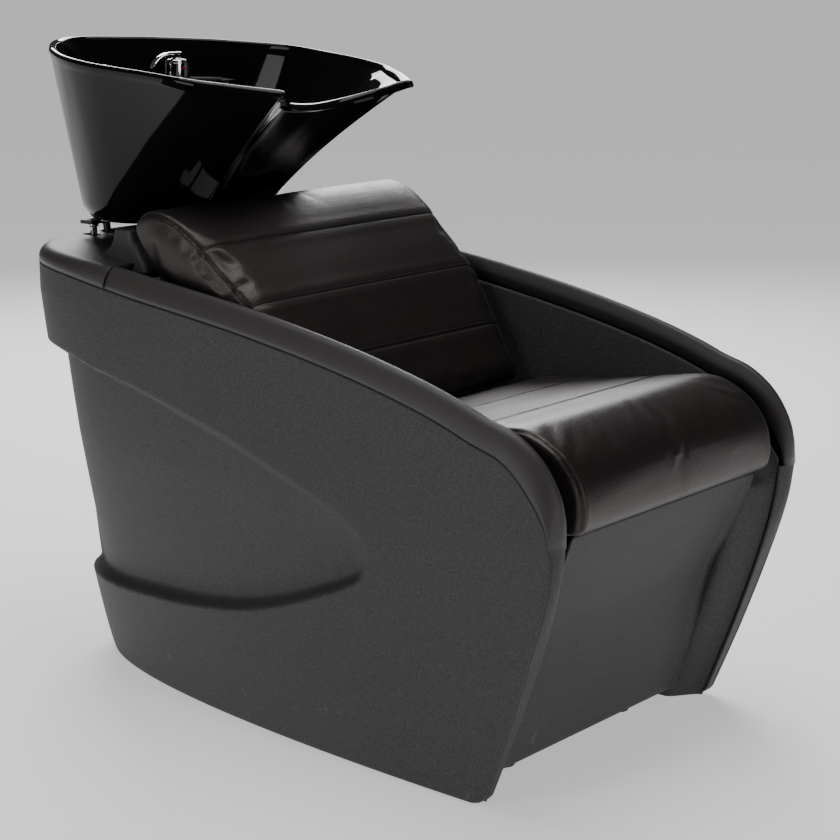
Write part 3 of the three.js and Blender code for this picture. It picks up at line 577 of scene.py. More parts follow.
CROWN_RISE = [(-616, 9), (-604, 22), (-560, 34), (160, 34), (352, 26), (518, 24)]
CAP_CROWN = [(0, 0.02), (0.4, 0.1), (2, 0.26), (7, 0.55), (14, 0.83), (20, 0.97), (25, 1), (30, 0.95),
             (34, 0.75),
             (36.3, 0.4), (CAP_WIDTH, 0.02)]


def arm_caps():
    share = np.concatenate([np.linspace(0, 0.12, 70), np.linspace(0.12, 0.8, 260)[1:]])
    z = crease_path(share)
    x, y = plan_point(KNEE_Y, share, np.minimum(z, 620))
    keep = y < CAP_REAR - GAP
    share, x, y, z = (np.append(v[keep], np.interp(CAP_REAR - GAP, y, v)) for v in (share, x, y, z))
    ty, tz = np.gradient(y), np.gradient(z)
    size = np.hypot(ty, tz)
    blend = smooth(0, 0.012, share)
    up_y, up_z = -tz / size, ty / size
    up_y, up_z = lerp(-1, up_y, blend), lerp(0, up_z, blend)
    end = smooth(CAP_REAR - 30, CAP_REAR - 2, y)
    up_y, up_z = lerp(up_y, 0, end), lerp(up_z, 1, end)
    rise = spline(CROWN_RISE, y)
    crown = through(CAP_CROWN, 30)
    foot = np.array([[CAP_WIDTH - 4, 0.02], [CAP_WIDTH / 2, 0.02], [4, 0.02]])
    section = np.concatenate([crown, foot])
    rings = [[(-(x[i] - a), y[i] + up_y[i] * (GAP + h * rise[i]), z[i] + up_z[i] * (GAP + h * rise[i]))
              for a, h in section] for i in range(len(share))]
    points, faces = lofted(rings)
    for hand, place in (("right", points), ("left", flipped(points))):
        cap = mesh_object(f"{hand}_arm_cap_skin", place, faces, CAP)
        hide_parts(f"{hand}_arm_cap")


DECK_PLATE = 6


def edge_distance(x, y):
    half, rear, p, q = plan_shape(640)
    u = np.clip((y - PLAN_FRONT) / (rear - PLAN_FRONT), 0, 1)
    value = 1 - np.clip(np.abs(x) / half, 0, 1) ** q - u ** p
    gx = q * np.clip(np.abs(x) / half, 0, 1) ** (q - 1) / half
    gy = p * u ** (p - 1) / (rear - PLAN_FRONT)
    return np.maximum(value, 0) / np.hypot(gx, gy)


def deck_top(x, y):
    crown = spline(CROWN_RISE, y)
    edge = np.clip(edge_distance(x, y) / 22, 0, 1)
    return crease_z(y) + GAP + DECK_PLATE + (crown - DECK_PLATE) * np.sqrt(1 - (1 - edge) ** 2)


def cut_with(piece, cutters):
    """Subtracts closed cutter meshes from a piece and removes them."""
    for cutter in cutters:
        step = piece.modifiers.new("cut", "BOOLEAN")
        step.object = cutter
        step.solver = "MANIFOLD"
    graph = bpy.context.evaluated_depsgraph_get()
    result = bpy.data.meshes.new_from_object(piece.evaluated_get(graph))
    piece.modifiers.clear()
    piece.data = result
    for cutter in cutters:
        bpy.data.objects.remove(cutter)


def prism(name, outline, low, high):
    rings = [[(x, y, z) for x, y in outline] for z in (low, high)]
    return closed_cutter(name, *lofted(rings))


def rounded_box(x0, x1, y0, y1, r, steps=6):
    outline = []
    for cx, cy, turn in ((x1 - r, y1 - r, 0), (x0 + r, y1 - r, 90), (x0 + r, y0 + r, 180),
                         (x1 - r, y0 + r, 270)):
        for a in np.radians(turn + np.linspace(0, 90, steps)):
            outline.append((cx + r * np.cos(a), cy + r * np.sin(a)))
    return outline


def rear_deck():
    u = np.linspace(0, 1, 150)
    x = (TOP_HALF - 0.3) * np.sin((u - 0.5) * math.pi)
    back = np.maximum(plan_y(x, 640), CAP_REAR + 2)
    v = 1 - (1 - np.linspace(0, 1, 90)) ** 2.2
    y = lerp(CAP_REAR + 0.2, back[:, None], v[None])
    x = np.broadcast_to(x[:, None], y.shape)
    top = deck_top(x, y)
    front = np.stack([x, y, top], -1)
    under = np.stack([x, y, np.maximum(top - DECK_PLATE, crease_z(y) + GAP)], -1)
    deck = mesh_object("rear_deck_skin", *walled(front, under), CAP)
    slots = []
    for middle in (-ROD_X, ROD_X):
        slots.append(prism("slot", rounded_box(middle - 10, middle + 10, 430, 464, 9.9, 10), 600, 800))
    cut_with(deck, [prism("opening", rounded_box(-110, 110, 290, 474, 22), 600, 800), *slots])
    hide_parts("rear_deck")


INNER_FOOT, INNER_SEAT, LEDGE_LOW = 240, 262, 376
INNER_REAR = CAP_REAR - 5


def inner_surface(inset):
    u = np.linspace(0, 1, 110) ** 1.4
    v = np.linspace(0, 1, 120)
    top_y = lerp(KNEE_Y + WALL + 0.8, INNER_REAR, u)[:, None]
    foot_y = lerp(front_y(FLOOR_LIFT) + WALL + 0.8, -60, u)[:, None]
    crease = np.where(top_y < -545, lerp(424, 494, (top_y + 600) / 55), crease_z(top_y) - 3)
    z = lerp(FLOOR_LIFT, crease, v[None])
    low = np.minimum(z, KNEE_Z)
    bow = (1 - u[:, None]) * (front_y(low) - lerp(front_y(FLOOR_LIFT), KNEE_Y, v[None]))
    y = lerp(foot_y, top_y, v[None]) + bow
    base = (INNER_FOOT + smooth(LEDGE_LOW - 8, LEDGE_LOW + 2, z) * (INNER_SEAT - INNER_FOOT)
            + np.clip((z - LEDGE_LOW) / (crease - LEDGE_LOW), 0, 1) * (INNER_TOP - INNER_SEAT))
    x = lerp(INNER_TOP - 3, base, smooth(4, 48, y - front_y(low)))
    return np.stack([-(x + inset), y, z], -1)


def inner_panels():
    points, faces = walled(inner_surface(0), inner_surface(4))
    for hand, place in (("right", points), ("left", flipped(points))):
        panel = mesh_object(f"{hand}_inner_skin", place, faces, SHELL)
        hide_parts(f"{hand}_inner_panel")


FASCIA_TOP = SEAT_Z - 3
FASCIA_LINE = [(20, -458), (125, -489), (233, -518), (300, -550), (372, -582), (FASCIA_TOP, -590)]


def front_fascia():
    x, z = np.meshgrid(np.linspace(-1, 1, 60) * (INNER_FOOT - 1), np.linspace(20, FASCIA_TOP, 64),
                       indexing="ij")
    fillet = 7 * np.clip((np.abs(x) - (INNER_FOOT - 15)) / 14, 0, 1) ** 2
    y = spline(FASCIA_LINE, z) - fillet
    front, back = np.stack([x, y, z], -1), np.stack([x, y + WALL, z], -1)
    fascia = mesh_object("front_fascia_skin", *walled(front, back), SHELL)
    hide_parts("front_fascia")


CHEEK_FRONT = [(684, 192), (698, 210), (710, 226), (724, 238), (744, 246)]
CHEEK_REAR = [(684, 344), (694, 326), (704, 306), (716, 293), (730, 287), (744, 285)]
CHEEK_OUTER = [(684, 264), (700, 254), (716, 248), (744, 245)]
CHEEK_INNER = [(684, 200), (700, 208), (716, 211), (744, 213)]


def mount_cheeks():
    """Flared fin beside the basin mount, drawn out into the deck at its foot."""
    rings = []
    for z in np.concatenate([np.linspace(684, 742.4, 40), [743.2, 743.8, 744]]):
        trim = 1.8 - math.sqrt(max(1.8 ** 2 - max(z - 742.2, 0) ** 2, 0))
        y0, y1 = spline(CHEEK_FRONT, z) + trim, spline(CHEEK_REAR, z) - trim
        x0, x1 = spline(CHEEK_INNER, z) + trim, spline(CHEEK_OUTER, z) - trim
        rings.append([(-x, y, z) for x, y in rounded_box(x0, x1, y0, y1, 9, 8)])
    points, faces = lofted(rings)
    for hand, place in (("right", points), ("left", flipped(points))):
        fin = mesh_object(f"{hand}_cheek_skin", place, faces, CAP)
        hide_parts(f"{hand}_mount_cheek")


# ---------------------------------------------------------------- basin
RIM_HALF = [
    (0, 69, 934), (38, 67, 936), (74, 58, 941), (103, 42, 948), (126, 22, 956), (143, 8, 963), (156, 4, 966),
    (191, 45, 972), (215, 85, 977), (236, 125, 982), (252, 205, 991), (262, 285, 998), (263, 325, 1002),
    (256, 365, 1006), (239, 405, 1009),
    (215, 445, 1012), (187, 485, 1015), (152, 525, 1017), (112, 567, 1019), (70, 602, 1020), (30, 625, 1021),
    (0, 631, 1021)]
RIM = through(RIM_HALF + [(-x, y, z) for x, y, z in RIM_HALF[-2:0:-1]], 420, closed=True)
BOWL_Y = 378
BOWL_REAR = 452
CAVITY_FRONT = 466
BASIN_WALL = 13
SIDE_LIP = 6.5
NECK_LIP = 11
LEDGE_FILLET = 7


def basin_ring(share, inset):
    """The rim outline drawn in towards the foot (share 0) and towards the bowl's centre (inset)."""
    x, y, z = RIM.T
    turn = np.arctan2(y - BOWL_Y, x)
    reach = np.where(np.sin(turn) > 0, 136, 118)
    spread = share - 0.07 * smooth(BOWL_Y, 100, y) * np.sin(math.pi * np.clip(share, 0, 1))
    px = lerp(178 * np.cos(turn), x, spread)
    py = lerp(BOWL_Y + reach * np.sin(turn), y, spread)
    size = np.hypot(px, py - BOWL_Y)
    k = (size - inset) / size
    return np.stack([px * k, BOWL_Y + (py - BOWL_Y) * k, lerp(BASIN_FLOOR, z, share)], 1)


def bowl_ring(share, inset):
    ring = basin_ring(share, inset)
    over = np.maximum(ring[:, 1] - (BOWL_REAR - 24), 0)
    ring[:, 1] = np.minimum(ring[:, 1], BOWL_REAR - 24) + 24 * (1 - np.exp(-over / 24))
    return ring


def waste_ring(radius, z):
    turn = np.arctan2(RIM[:, 1] - BOWL_Y, RIM[:, 0])
    return np.stack([radius * np.cos(turn), WASTE_Y + radius * np.sin(turn), np.full(len(turn), z)], 1)


def basin():
    depth = RIM[:, 2] - BASIN_FLOOR
    lip = lerp(NECK_LIP, SIDE_LIP, smooth(45, 190, RIM[:, 1]))
    rings = [waste_ring(23, BASIN_FLOOR)]
    for a in np.radians([0, 22, 45, 68, 90]):
        rings.append(basin_ring(0.09 * (1 - math.cos(a)), 24 * (1 - math.sin(a))))
    rings += [basin_ring(s, 0) for s in np.linspace(0.12, 0.94, 46)]
    outer, inner = basin_ring(1, 0), basin_ring(1, 2 * lip)
    for a in np.linspace(0, math.pi, 19):
        ring = lerp(outer, inner, (1 - math.cos(a)) / 2)
        ring[:, 2] -= lip * (1 - math.sin(a))
        rings.append(ring)
    for t in np.linspace(0, 1, 12):
        rings.append(basin_ring(lerp(0.94, 0.80, t), lerp(2 * lip, BASIN_WALL, smooth(0, 1, t))))

    # Level ledge at the rear, with rounded inner and outer edges; it dies out along the sides.
    level = np.minimum((LEDGE_Z - BASIN_FLOOR) / depth, 0.76)[:, None]
    wall_foot = lerp(basin_ring(0.74, BASIN_WALL), basin_ring(0.80, BASIN_WALL), (level - 0.74) / 0.06)
    edge = lerp(bowl_ring(0.74, BASIN_WALL), bowl_ring(0.80, BASIN_WALL), (level - 0.74) / 0.06)
    width = np.linalg.norm(edge - wall_foot, axis=1)[:, None]
    along = (edge - wall_foot) / np.maximum(width, 1e-6)
    fillet = np.minimum(LEDGE_FILLET, 0.45 * width)
    above = basin_ring(0.80, BASIN_WALL)
    above = lerp(wall_foot, above, np.minimum(fillet / 14 + 0.12, 1))
    below = bowl_ring(0.70, BASIN_WALL)
    below = lerp(edge, below, np.minimum(fillet / 14 + 0.12, 1))
    for control, start, end in ((wall_foot, above, wall_foot + along * fillet),
                                (edge, edge - along * fillet, below)):
        for t in np.linspace(0, 1, 7):
            rings.append((1 - t) ** 2 * start + 2 * t * (1 - t) * control + t * t * end)
    rings += [bowl_ring(s, lerp(BASIN_WALL + 4, BASIN_WALL, (s - 0.2) / 0.5)) for s in np.linspace(0.68,
                                                                                                   0.22, 24)]
    for a in np.radians(np.linspace(8, 90, 12)):
        rings.append(bowl_ring(0.22 - 0.15 * math.sin(a), BASIN_WALL + 4 + 30 * (1 - math.cos(a))))
    floor = rings[-1]
    rings += [lerp(floor, waste_ring(33, 755), t) for t in (0.2, 0.4, 0.6, 0.8, 1)]
    rings.append(waste_ring(23, 754))
    rings = np.array(rings)
    faces = grid_faces(*rings.shape[:2], close_rows=True, close_cols=True)
    piece = mesh_object("glazed_basin", rings.reshape(-1, 3) * MM, faces, GLAZE, body="tilting_basin")
    cavity = [np.stack([r[:, 0], np.maximum(r[:, 1], CAVITY_FRONT), r[:, 2]], 1)
              for r in (basin_ring(s, 13) for s in np.concatenate([[-0.1], np.linspace(0.1, 0.66, 12)]))]
    hollow = closed_cutter("cavity", *lofted(cavity))
    fittings = ((MIXER_X, MIXER_Y, 17), (SHOWER_X, SHOWER_Y, 14))
    holes = [prism("hole", circle(x, y, r), 900, 1000) for x, y, r in fittings]
    cut_with(piece, [hollow, *holes])
    piece.data.set_sharp_from_angle(angle=math.radians(50))
    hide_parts("basin")


def circle(x, y, r, count=48):
    turn = np.linspace(0, 2 * math.pi, count, endpoint=False)
    return [(x + r * math.cos(a), y + r * math.sin(a)) for a in turn]


def closed_cutter(name, points, faces):
    mesh = bpy.data.meshes.new(name)
    mesh.from_pydata([tuple(p) for p in points], [], [tuple(int(i) for i in f) for f in faces])
    work = bmesh.new()
    work.from_mesh(mesh)
    bmesh.ops.remove_doubles(work, verts=work.verts, dist=1e-6)
    bmesh.ops.recalc_face_normals(work, faces=work.faces)
    work.to_mesh(mesh)
    work.free()
    cutter = bpy.data.objects.new(name, mesh)
    bpy.context.scene.collection.objects.link(cutter)
    return cutter


# ---------------------------------------------------------------- upholstery
SEAT_PROFILE = [(-170, 400), (-300, 400), (-500, 400), (-600, 398), (-612, 399), (-622, 407),
                (-626, 434), (-617, 470),
                (-590, 504), (-552, 526), (-512, 534), (-434, 524), (-300, 503), (-190, 489), (-170, 470),
                (-163, 435)]
BACK_FRONT = [(-150, 486), (-122, 530), (-97, 569), (-33, 657), (54, 735), (108, 771), (150, 786)]
BACK_REAR = [(178, 784), (200, 770), (206, 750), (176, 700), (96, 618), (0, 540), (-72, 480), (-120, 470)]


def cushion_form(name, outline, half_width, ends, shrink):
    """Closed loft across the unit; the outline draws in towards each side face like a packed pillow."""
    outline = np.array(outline, float)
    centre = outline.mean(0)
    rings = []
    for side, pull in ends:
        at = centre + (outline - centre) * pull
        z = at[:, 1]
        rings.append(np.stack([side * (half_width(z) - shrink), at[:, 0], z], 1))
    points, faces = lofted(rings)
    return mesh_object(name, points, faces, LEATHER)


def inflate(piece, pressure, cap, voxel):
    """Swells a closed cushion with the cloth solver, keeping every point within cap of where it started."""
    remesh = piece.modifiers.new("voxels", "REMESH")
    remesh.mode = "VOXEL"
    remesh.voxel_size = voxel
    remesh.use_smooth_shade = True
    flatten(piece)
    start = np.array([v.co for v in piece.data.vertices])
    cloth = piece.modifiers.new("cloth", "CLOTH")
    cloth.settings.quality = 4
    cloth.settings.mass = 0.25
    cloth.settings.tension_stiffness = 25
    cloth.settings.compression_stiffness = 25
    cloth.settings.bending_stiffness = 6
    cloth.settings.use_pressure = True
    cloth.settings.uniform_pressure_force = pressure
    cloth.settings.effector_weights.gravity = 0
    cloth.point_cache.frame_end = 20
    for frame_number in range(1, 21):
        bpy.context.scene.frame_set(frame_number)
    flatten(piece)
    bpy.context.scene.frame_set(1)
    moved = np.array([v.co for v in piece.data.vertices]) - start
    size = np.linalg.norm(moved, axis=1)
    limited = cap * np.tanh(size / cap)
    place = start + moved * (limited / np.maximum(size, 1e-9))[:, None]
    piece.data.vertices.foreach_set("co", place.ravel())


def flatten(piece):
    """Applies the piece's modifiers to its mesh."""
    graph = bpy.context.evaluated_depsgraph_get()
    result = bpy.data.meshes.new_from_object(piece.evaluated_get(graph))
    piece.modifiers.clear()
    piece.data = result


def seam_band(place, across, tangent, depth, width, puff):
    """Sinks a narrow groove along a seam plane and lifts the leather a little either side of it."""
    away = np.abs((place - across) @ tangent)
    return -depth * np.exp(-(away / width) ** 2) + puff * np.exp(-((away - 5 * width) / (4 * width)) ** 2)


def sink_seams(piece, seams, facing):
    """Moves the surface along its normals for each seam given as (point, tangent) in mm."""
    mesh = piece.data
    place = np.array([v.co for v in mesh.vertices]) / MM
    normal = np.array([v.normal for v in mesh.vertices])
    lift = np.zeros(len(place))
    for point, tangent in seams:
        lift += seam_band(place, np.array(point, float), unit(tangent), 2.4, 2.4, 0.7)
    lift *= smooth(0.1, 0.45, normal @ unit(facing))
    mesh.vertices.foreach_set("co", ((place + normal * lift[:, None]) * MM).ravel())
    mesh.update()


def sink_boxing(piece, half_at, where):
    """Sinks the seam that joins the front panel to the side panel, along both side edges."""
    mesh = piece.data
    place = np.array([v.co for v in mesh.vertices]) / MM
    normal = np.array([v.normal for v in mesh.vertices])
    away = np.abs(place[:, 0]) - half_at(place[:, 2])
    lift = -1.6 * np.exp(-(away / 1.8) ** 2) + 0.7 * np.exp(-((np.abs(away) - 8) / 6) ** 2)
    lift *= where(place[:, 1]) * smooth(0.3, 0.6, normal @ unit((0, -1, 0.9)) + 0.25)
    mesh.vertices.foreach_set("co", ((place + normal * lift[:, None]) * MM).ravel())
    mesh.update()


def stitch_edges(piece, name, edge, half_at, gap=3.4):
    """Two rows of stitches along each side edge; edge lists a point and the inward direction there."""
    tree = search_tree(piece)
    rows = []
    for side in (-1, 1):
        for offset in (-gap, gap):
            landed = []
            for point, inward in edge:
                start = point + np.array((side * (half_at(point[2]) + offset), 0, 0))
                landed += on_surface(tree, [start - 20 * unit(inward)], inward)
            rows.append(landed)
    stitches = beads(name, [r for r in rows if len(r) > 1], 3.6, 0.95, 3.0, THREAD)
    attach(stitches, "root")


def unit(v):
    v = np.array(v, float)
    return v / np.linalg.norm(v)


def search_tree(piece):
    return BVHTree.FromObject(piece, bpy.context.evaluated_depsgraph_get())


def on_surface(tree, points, towards, lift=0.4):
    """Drops each point in mm onto a surface along a direction and lifts it slightly off."""
    ray = Vector(unit(towards))
    landed = []
    for p in points:
        hit, normal, _, _ = tree.ray_cast(Vector(np.array(p) * MM) - ray * 0.05, ray)
        if hit is not None:
            landed.append(np.array(hit + normal * lift * MM) / MM)
    return landed


def bead_tree():
    """Geometry Nodes tree: rounded beads set end to end along a curve, for stitches and hose ribs."""
    tree = bpy.data.node_groups.new("beads_on_a_line", "GeometryNodeTree")
    tree.interface.new_socket("Geometry", in_out="INPUT", socket_type="NodeSocketGeometry")
    sizes = {}
    for label in ("Spacing", "Bead Width", "Bead Length"):
        sizes[label] = tree.interface.new_socket(label, in_out="INPUT", socket_type="NodeSocketFloat")
    sizes["Segments"] = tree.interface.new_socket("Segments", in_out="INPUT", socket_type="NodeSocketInt")
    sizes["Finish"] = tree.interface.new_socket("Finish", in_out="INPUT", socket_type="NodeSocketMaterial")
    tree.interface.new_socket("Geometry", in_out="OUTPUT", socket_type="NodeSocketGeometry")
    add, link = tree.nodes.new, tree.links.new
    source, result = add("NodeGroupInput"), add("NodeGroupOutput")
    line = add("GeometryNodeMeshToCurve")
    stations = add("GeometryNodeCurveToPoints")
    stations.mode = "LENGTH"
    aim = add("FunctionNodeAlignRotationToVector")
    aim.axis = "Z"
    bead = add("GeometryNodeMeshUVSphere")
    bead.inputs["Rings"].default_value = 6
    bead.inputs["Radius"].default_value = 0.5
    size = add("ShaderNodeCombineXYZ")
    place = add("GeometryNodeInstanceOnPoints")
    real = add("GeometryNodeRealizeInstances")
    shade = add("GeometryNodeSetShadeSmooth")
    paint = add("GeometryNodeSetMaterial")
    for a, b in ((source.outputs["Geometry"], line.inputs[0]), (line.outputs[0], stations.inputs["Curve"]),
                 (source.outputs["Spacing"], stations.inputs["Length"]),
                 (stations.outputs["Tangent"], aim.inputs["Vector"]),
                 (source.outputs["Segments"], bead.inputs["Segments"]),
                 (source.outputs["Bead Width"], size.inputs["X"]),
                 (source.outputs["Bead Width"], size.inputs["Y"]),
                 (source.outputs["Bead Length"], size.inputs["Z"]),
                 (stations.outputs["Points"], place.inputs["Points"]),
                 (bead.outputs["Mesh"], place.inputs["Instance"]),
                 (aim.outputs["Rotation"], place.inputs["Rotation"]),
                 (size.outputs[0], place.inputs["Scale"]),
                 (place.outputs[0], real.inputs[0]), (real.outputs[0], shade.inputs[0]),
                 (shade.outputs[0], paint.inputs[0]), (source.outputs["Finish"], paint.inputs["Material"]),
                 (paint.outputs[0], result.inputs[0])):
        link(a, b)
    return tree, {label: socket.identifier for label, socket in sizes.items()}


BEADS, BEAD_INPUTS = bead_tree()


def beads(name, lines, spacing, width, length, finish, segments=6):
    """Beads along polylines in mm, returned as a plain mesh object with no parent."""
    points, edges = [], []
    for line in lines:
        edges += [(len(points) + k, len(points) + k + 1) for k in range(len(line) - 1)]
        points += [tuple(np.array(p) * MM) for p in line]
    mesh = bpy.data.meshes.new(name)
    mesh.from_pydata(points, edges, [])
    piece = bpy.data.objects.new(name, mesh)
    bpy.context.scene.collection.objects.link(piece)
    maker = piece.modifiers.new("beads", "NODES")
    maker.node_group = BEADS
    for label, value in (("Spacing", spacing * MM), ("Bead Width", width * MM), ("Bead Length", length * MM),
                         ("Segments", segments), ("Finish", finish)):
        maker[BEAD_INPUTS[label]] = value
    flatten(piece)
    return piece


def double_stitch(piece, name, seams, towards, gap=3.6):
    """Two rows of stitches beside each seam; a seam is a polyline with the direction across it."""
    tree = search_tree(piece)
    rows = []
    for line, across in seams:
        for side in (-gap, gap):
            moved = [np.array(p, float) + side * unit(across) for p in line]
            rows.append(on_surface(tree, moved, towards))
    stitches = beads(name, [r for r in rows if len(r) > 1], 3.6, 0.95, 3.0, THREAD)
    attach(stitches, "root")


def mirrored_ends(right):
    """Width shares and pulls from one side face through the middle to the other."""
    return [(-side, pull) for side, pull in right] + [(0, 1)] + right[::-1]


def back_half(z):
    return lerp(256, 294, np.clip((z - 480) / 310, 0, 1))


def seat_cushion():
    ends = mirrored_ends([(1, 0.93), (0.996, 0.955), (0.985, 0.98), (0.965, 0.995), (0.5, 1)])
    outline = through(SEAT_PROFILE, 90, closed=True)
    seat = cushion_form("seat_leather", outline, lambda z: np.full_like(z, SEAT_HALF), ends, 3)
    inflate(seat, 4.0, 6 * MM, 6 * MM)
    subdivided(seat)
    settle(seat, low=SEAT_Z + 0.6)
    seams = [((0, -434, 522), (0, 1, 0.14)), ((0, -295, 500), (0, 1, 0.14))]
    sink_seams(seat, seams, (0, 0, 1))
    sink_boxing(seat, lambda z: SEAT_HALF - 9 + 0 * z, lambda y: smooth(-430, -500, y))
    finish_cushion(seat, "seat_cushion")
    x = np.linspace(-243, 243, 120)
    lines = [([(a, y, 560) for a in x], (0, 1, 0)) for y in (-434, -295)]
    double_stitch(seat, "seat_stitches", lines, (0, 0, -1))
    roll = through([(-500, 535), (-552, 526), (-590, 504), (-617, 470), (-625, 434), (-618, 408)], 60)
    centre = np.array((-500, 440))
    edge = []
    for y, z in roll:
        edge.append((np.array((0, y, z)), np.array((0, *(centre - (y, z))))))
    stitch_edges(seat, "seat_edge_stitches", edge, lambda z: SEAT_HALF - 9)


def back_cushion():
    outline = through(BACK_FRONT + BACK_REAR, 110, closed=True)
    ends = mirrored_ends([(1, 0.91), (0.996, 0.94), (0.985, 0.97), (0.96, 0.99), (0.5, 1)])
    back = cushion_form("back_leather", outline, back_half, ends, 4)
    inflate(back, 4.0, 6 * MM, 6 * MM)
    subdivided(back)
    tangents = [((0, 54, 736), (0, 87, 79)), ((0, -33, 657), (0, 85, 84)), ((0, -97, 569), (0, 62, 88))]
    sink_seams(back, tangents, (0, -1, 0.9))
    sink_boxing(back, lambda z: back_half(z) - 11, lambda y: np.ones_like(y))
    finish_cushion(back, "backrest_cushion")
    lines = []
    for (_, y, z), across in tangents:
        half = lerp(256, 294, (z - 480) / 310) - 16
        lines.append(([(a, y, z) for a in np.linspace(-half, half, 130)], across))
    double_stitch(back, "back_stitches", lines, (0, 1, -0.9))
    front = through(BACK_FRONT[1:] + BACK_REAR[:1], 150)
    edge = [(np.array((0, y, z)), np.array((0, 1, -0.9))) for y, z in front]
    stitch_edges(back, "back_edge_stitches", edge, lambda z: back_half(z) - 11)


def subdivided(piece):
    step = piece.modifiers.new("finer", "SUBSURF")
    step.levels = step.render_levels = 1
    flatten(piece)


def settle(piece, low):
    """Keeps the underside flat where the cushion rests on its board."""
    place = np.array([v.co for v in piece.data.vertices])
    place[:, 2] = np.maximum(place[:, 2], low * MM)
    piece.data.vertices.foreach_set("co", place.ravel())
    piece.data.update()


def finish_cushion(piece, node):
    piece.data.polygons.foreach_set("use_smooth", [True] * len(piece.data.polygons))
    if not piece.data.materials:
        piece.data.materials.append(LEATHER)
    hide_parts(node)


# ---------------------------------------------------------------- basin fittings
def turned(name, profile, x, y, material, body, sides=56):
    """A piece turned about an upright line; its profile is closed, or starts and ends on the line."""
    turn = np.linspace(0, 2 * math.pi, sides, endpoint=False)
    rings = [[(x + r * math.cos(a), y + r * math.sin(a), z) for a in turn] for r, z in profile]
    rings = np.array(rings)
    hollow = profile[0][0] > 0.01
    faces = grid_faces(*rings.shape[:2], close_rows=hollow, close_cols=True)
    piece = mesh_object(name, rings.reshape(-1, 3) * MM, faces, material, body=body)
    piece.data.set_sharp_from_angle(angle=math.radians(40))
    return piece


BODY_TOP = LEDGE_Z + 30
CAP_TOP = BODY_TOP + 9


def mixer():
    low = LEDGE_Z + 1
    body = turned("mixer_barrel", [(0, 930), (15, 930), (15, low), (23.4, low), (24, low + 0.8),
                                   (24, low + 3.2),
                                   (23, low + 4), (20, low + 4.6), (20, BODY_TOP - 1), (19, BODY_TOP),
                                   (0, BODY_TOP)],
                  MIXER_X, MIXER_Y, CHROME, "tilting_basin")
    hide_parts("mixer_body")
    cap = turned("mixer_dome", [(0, BODY_TOP + GAP), (19, BODY_TOP + GAP), (20, BODY_TOP + 1.4),
                                (20, BODY_TOP + 3.4),
                                (18.6, BODY_TOP + 4.8), (11, BODY_TOP + 6), (9, BODY_TOP + 7),
                                (8.4, CAP_TOP),
                                (0, CAP_TOP)],
                 MIXER_X, MIXER_Y, CHROME, "mixer_cap")
    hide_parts("mixer_cap")
    crest = CAP_TOP + GAP
    spine = through([(12, crest + 6.4), (0, crest + 5.2), (-24, crest + 5), (-45, crest - 3.6),
                     (-61, crest - 18)], 40)
    rings = []
    for i, (x, z) in enumerate(spine):
        t = i / (len(spine) - 1)
        tip = math.sqrt(max(1 - (2 * max(t, 0.5) - 1) ** 12, 0.02))
        heel = math.sqrt(max(1 - (1 - min(t / 0.16, 1)) ** 2.4, 0.03))
        dx, dz = np.gradient(spine[:, 0])[i], np.gradient(spine[:, 1])[i]
        nx, nz = unit((-dz, dx))
        wide = lerp(8, 5.6, t) * tip * heel
        thick = lerp(3.6, 1.5, t ** 0.7) * tip * heel
        ring = []
        for a in np.linspace(0, 2 * math.pi, 24, endpoint=False):
            c, s = np.cos(a), np.sin(a)
            across = wide * np.sign(c) * abs(c) ** 0.6
            up = thick * np.sign(s) * abs(s) ** 0.8
            ring.append((MIXER_X + x + nx * up, MIXER_Y + across, z + nz * up))
        rings.append(ring)
    lever = mesh_object("lever_blade", *lofted(rings), CHROME, body="mixer_lever")
    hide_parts("mixer_lever")
    dot = turned("temperature_bead", [(0, -0.8), (2.2, -0.8), (2.6, -0.2), (2.2, 0.5), (0, 0.9)], 0, 0, RED,
                 "tilting_basin", 32)
    place = np.array([v.co for v in dot.data.vertices]) / MM
    place = np.stack([place[:, 0] + MIXER_X, -place[:, 2] + MIXER_Y - 20.6, place[:, 1] + LEDGE_Z + 20], 1)
    dot.data.vertices.foreach_set("co", (place * MM).ravel())
    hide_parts("temperature_dot")


def hand_shower():
    z = LEDGE_Z
    socket = turned("shower_collar", [(11.5, z - 8), (13.4, z - 8), (13.4, z + 1), (16.4, z + 1),
                                      (17, z + 1.8),
                                      (16.4, z + 5), (15.2, z + 6), (11.5, z + 6)],
                    SHOWER_X, SHOWER_Y, CHROME, "tilting_basin")
    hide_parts("shower_socket")
    head = turned("shower_head", [(0, 896), (9.6, 896), (10.5, 897), (10.5, z + 7), (13.6, z + 7.4),
                                  (14.6, z + 9),
                                  (15, z + 14), (14.4, z + 19), (12.6, z + 24), (9.6, z + 28), (5, z + 30.4),
                                  (0, z + 31)],
                  SHOWER_X, SHOWER_Y, CHROME, "hand_shower")
    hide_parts("hand_shower")


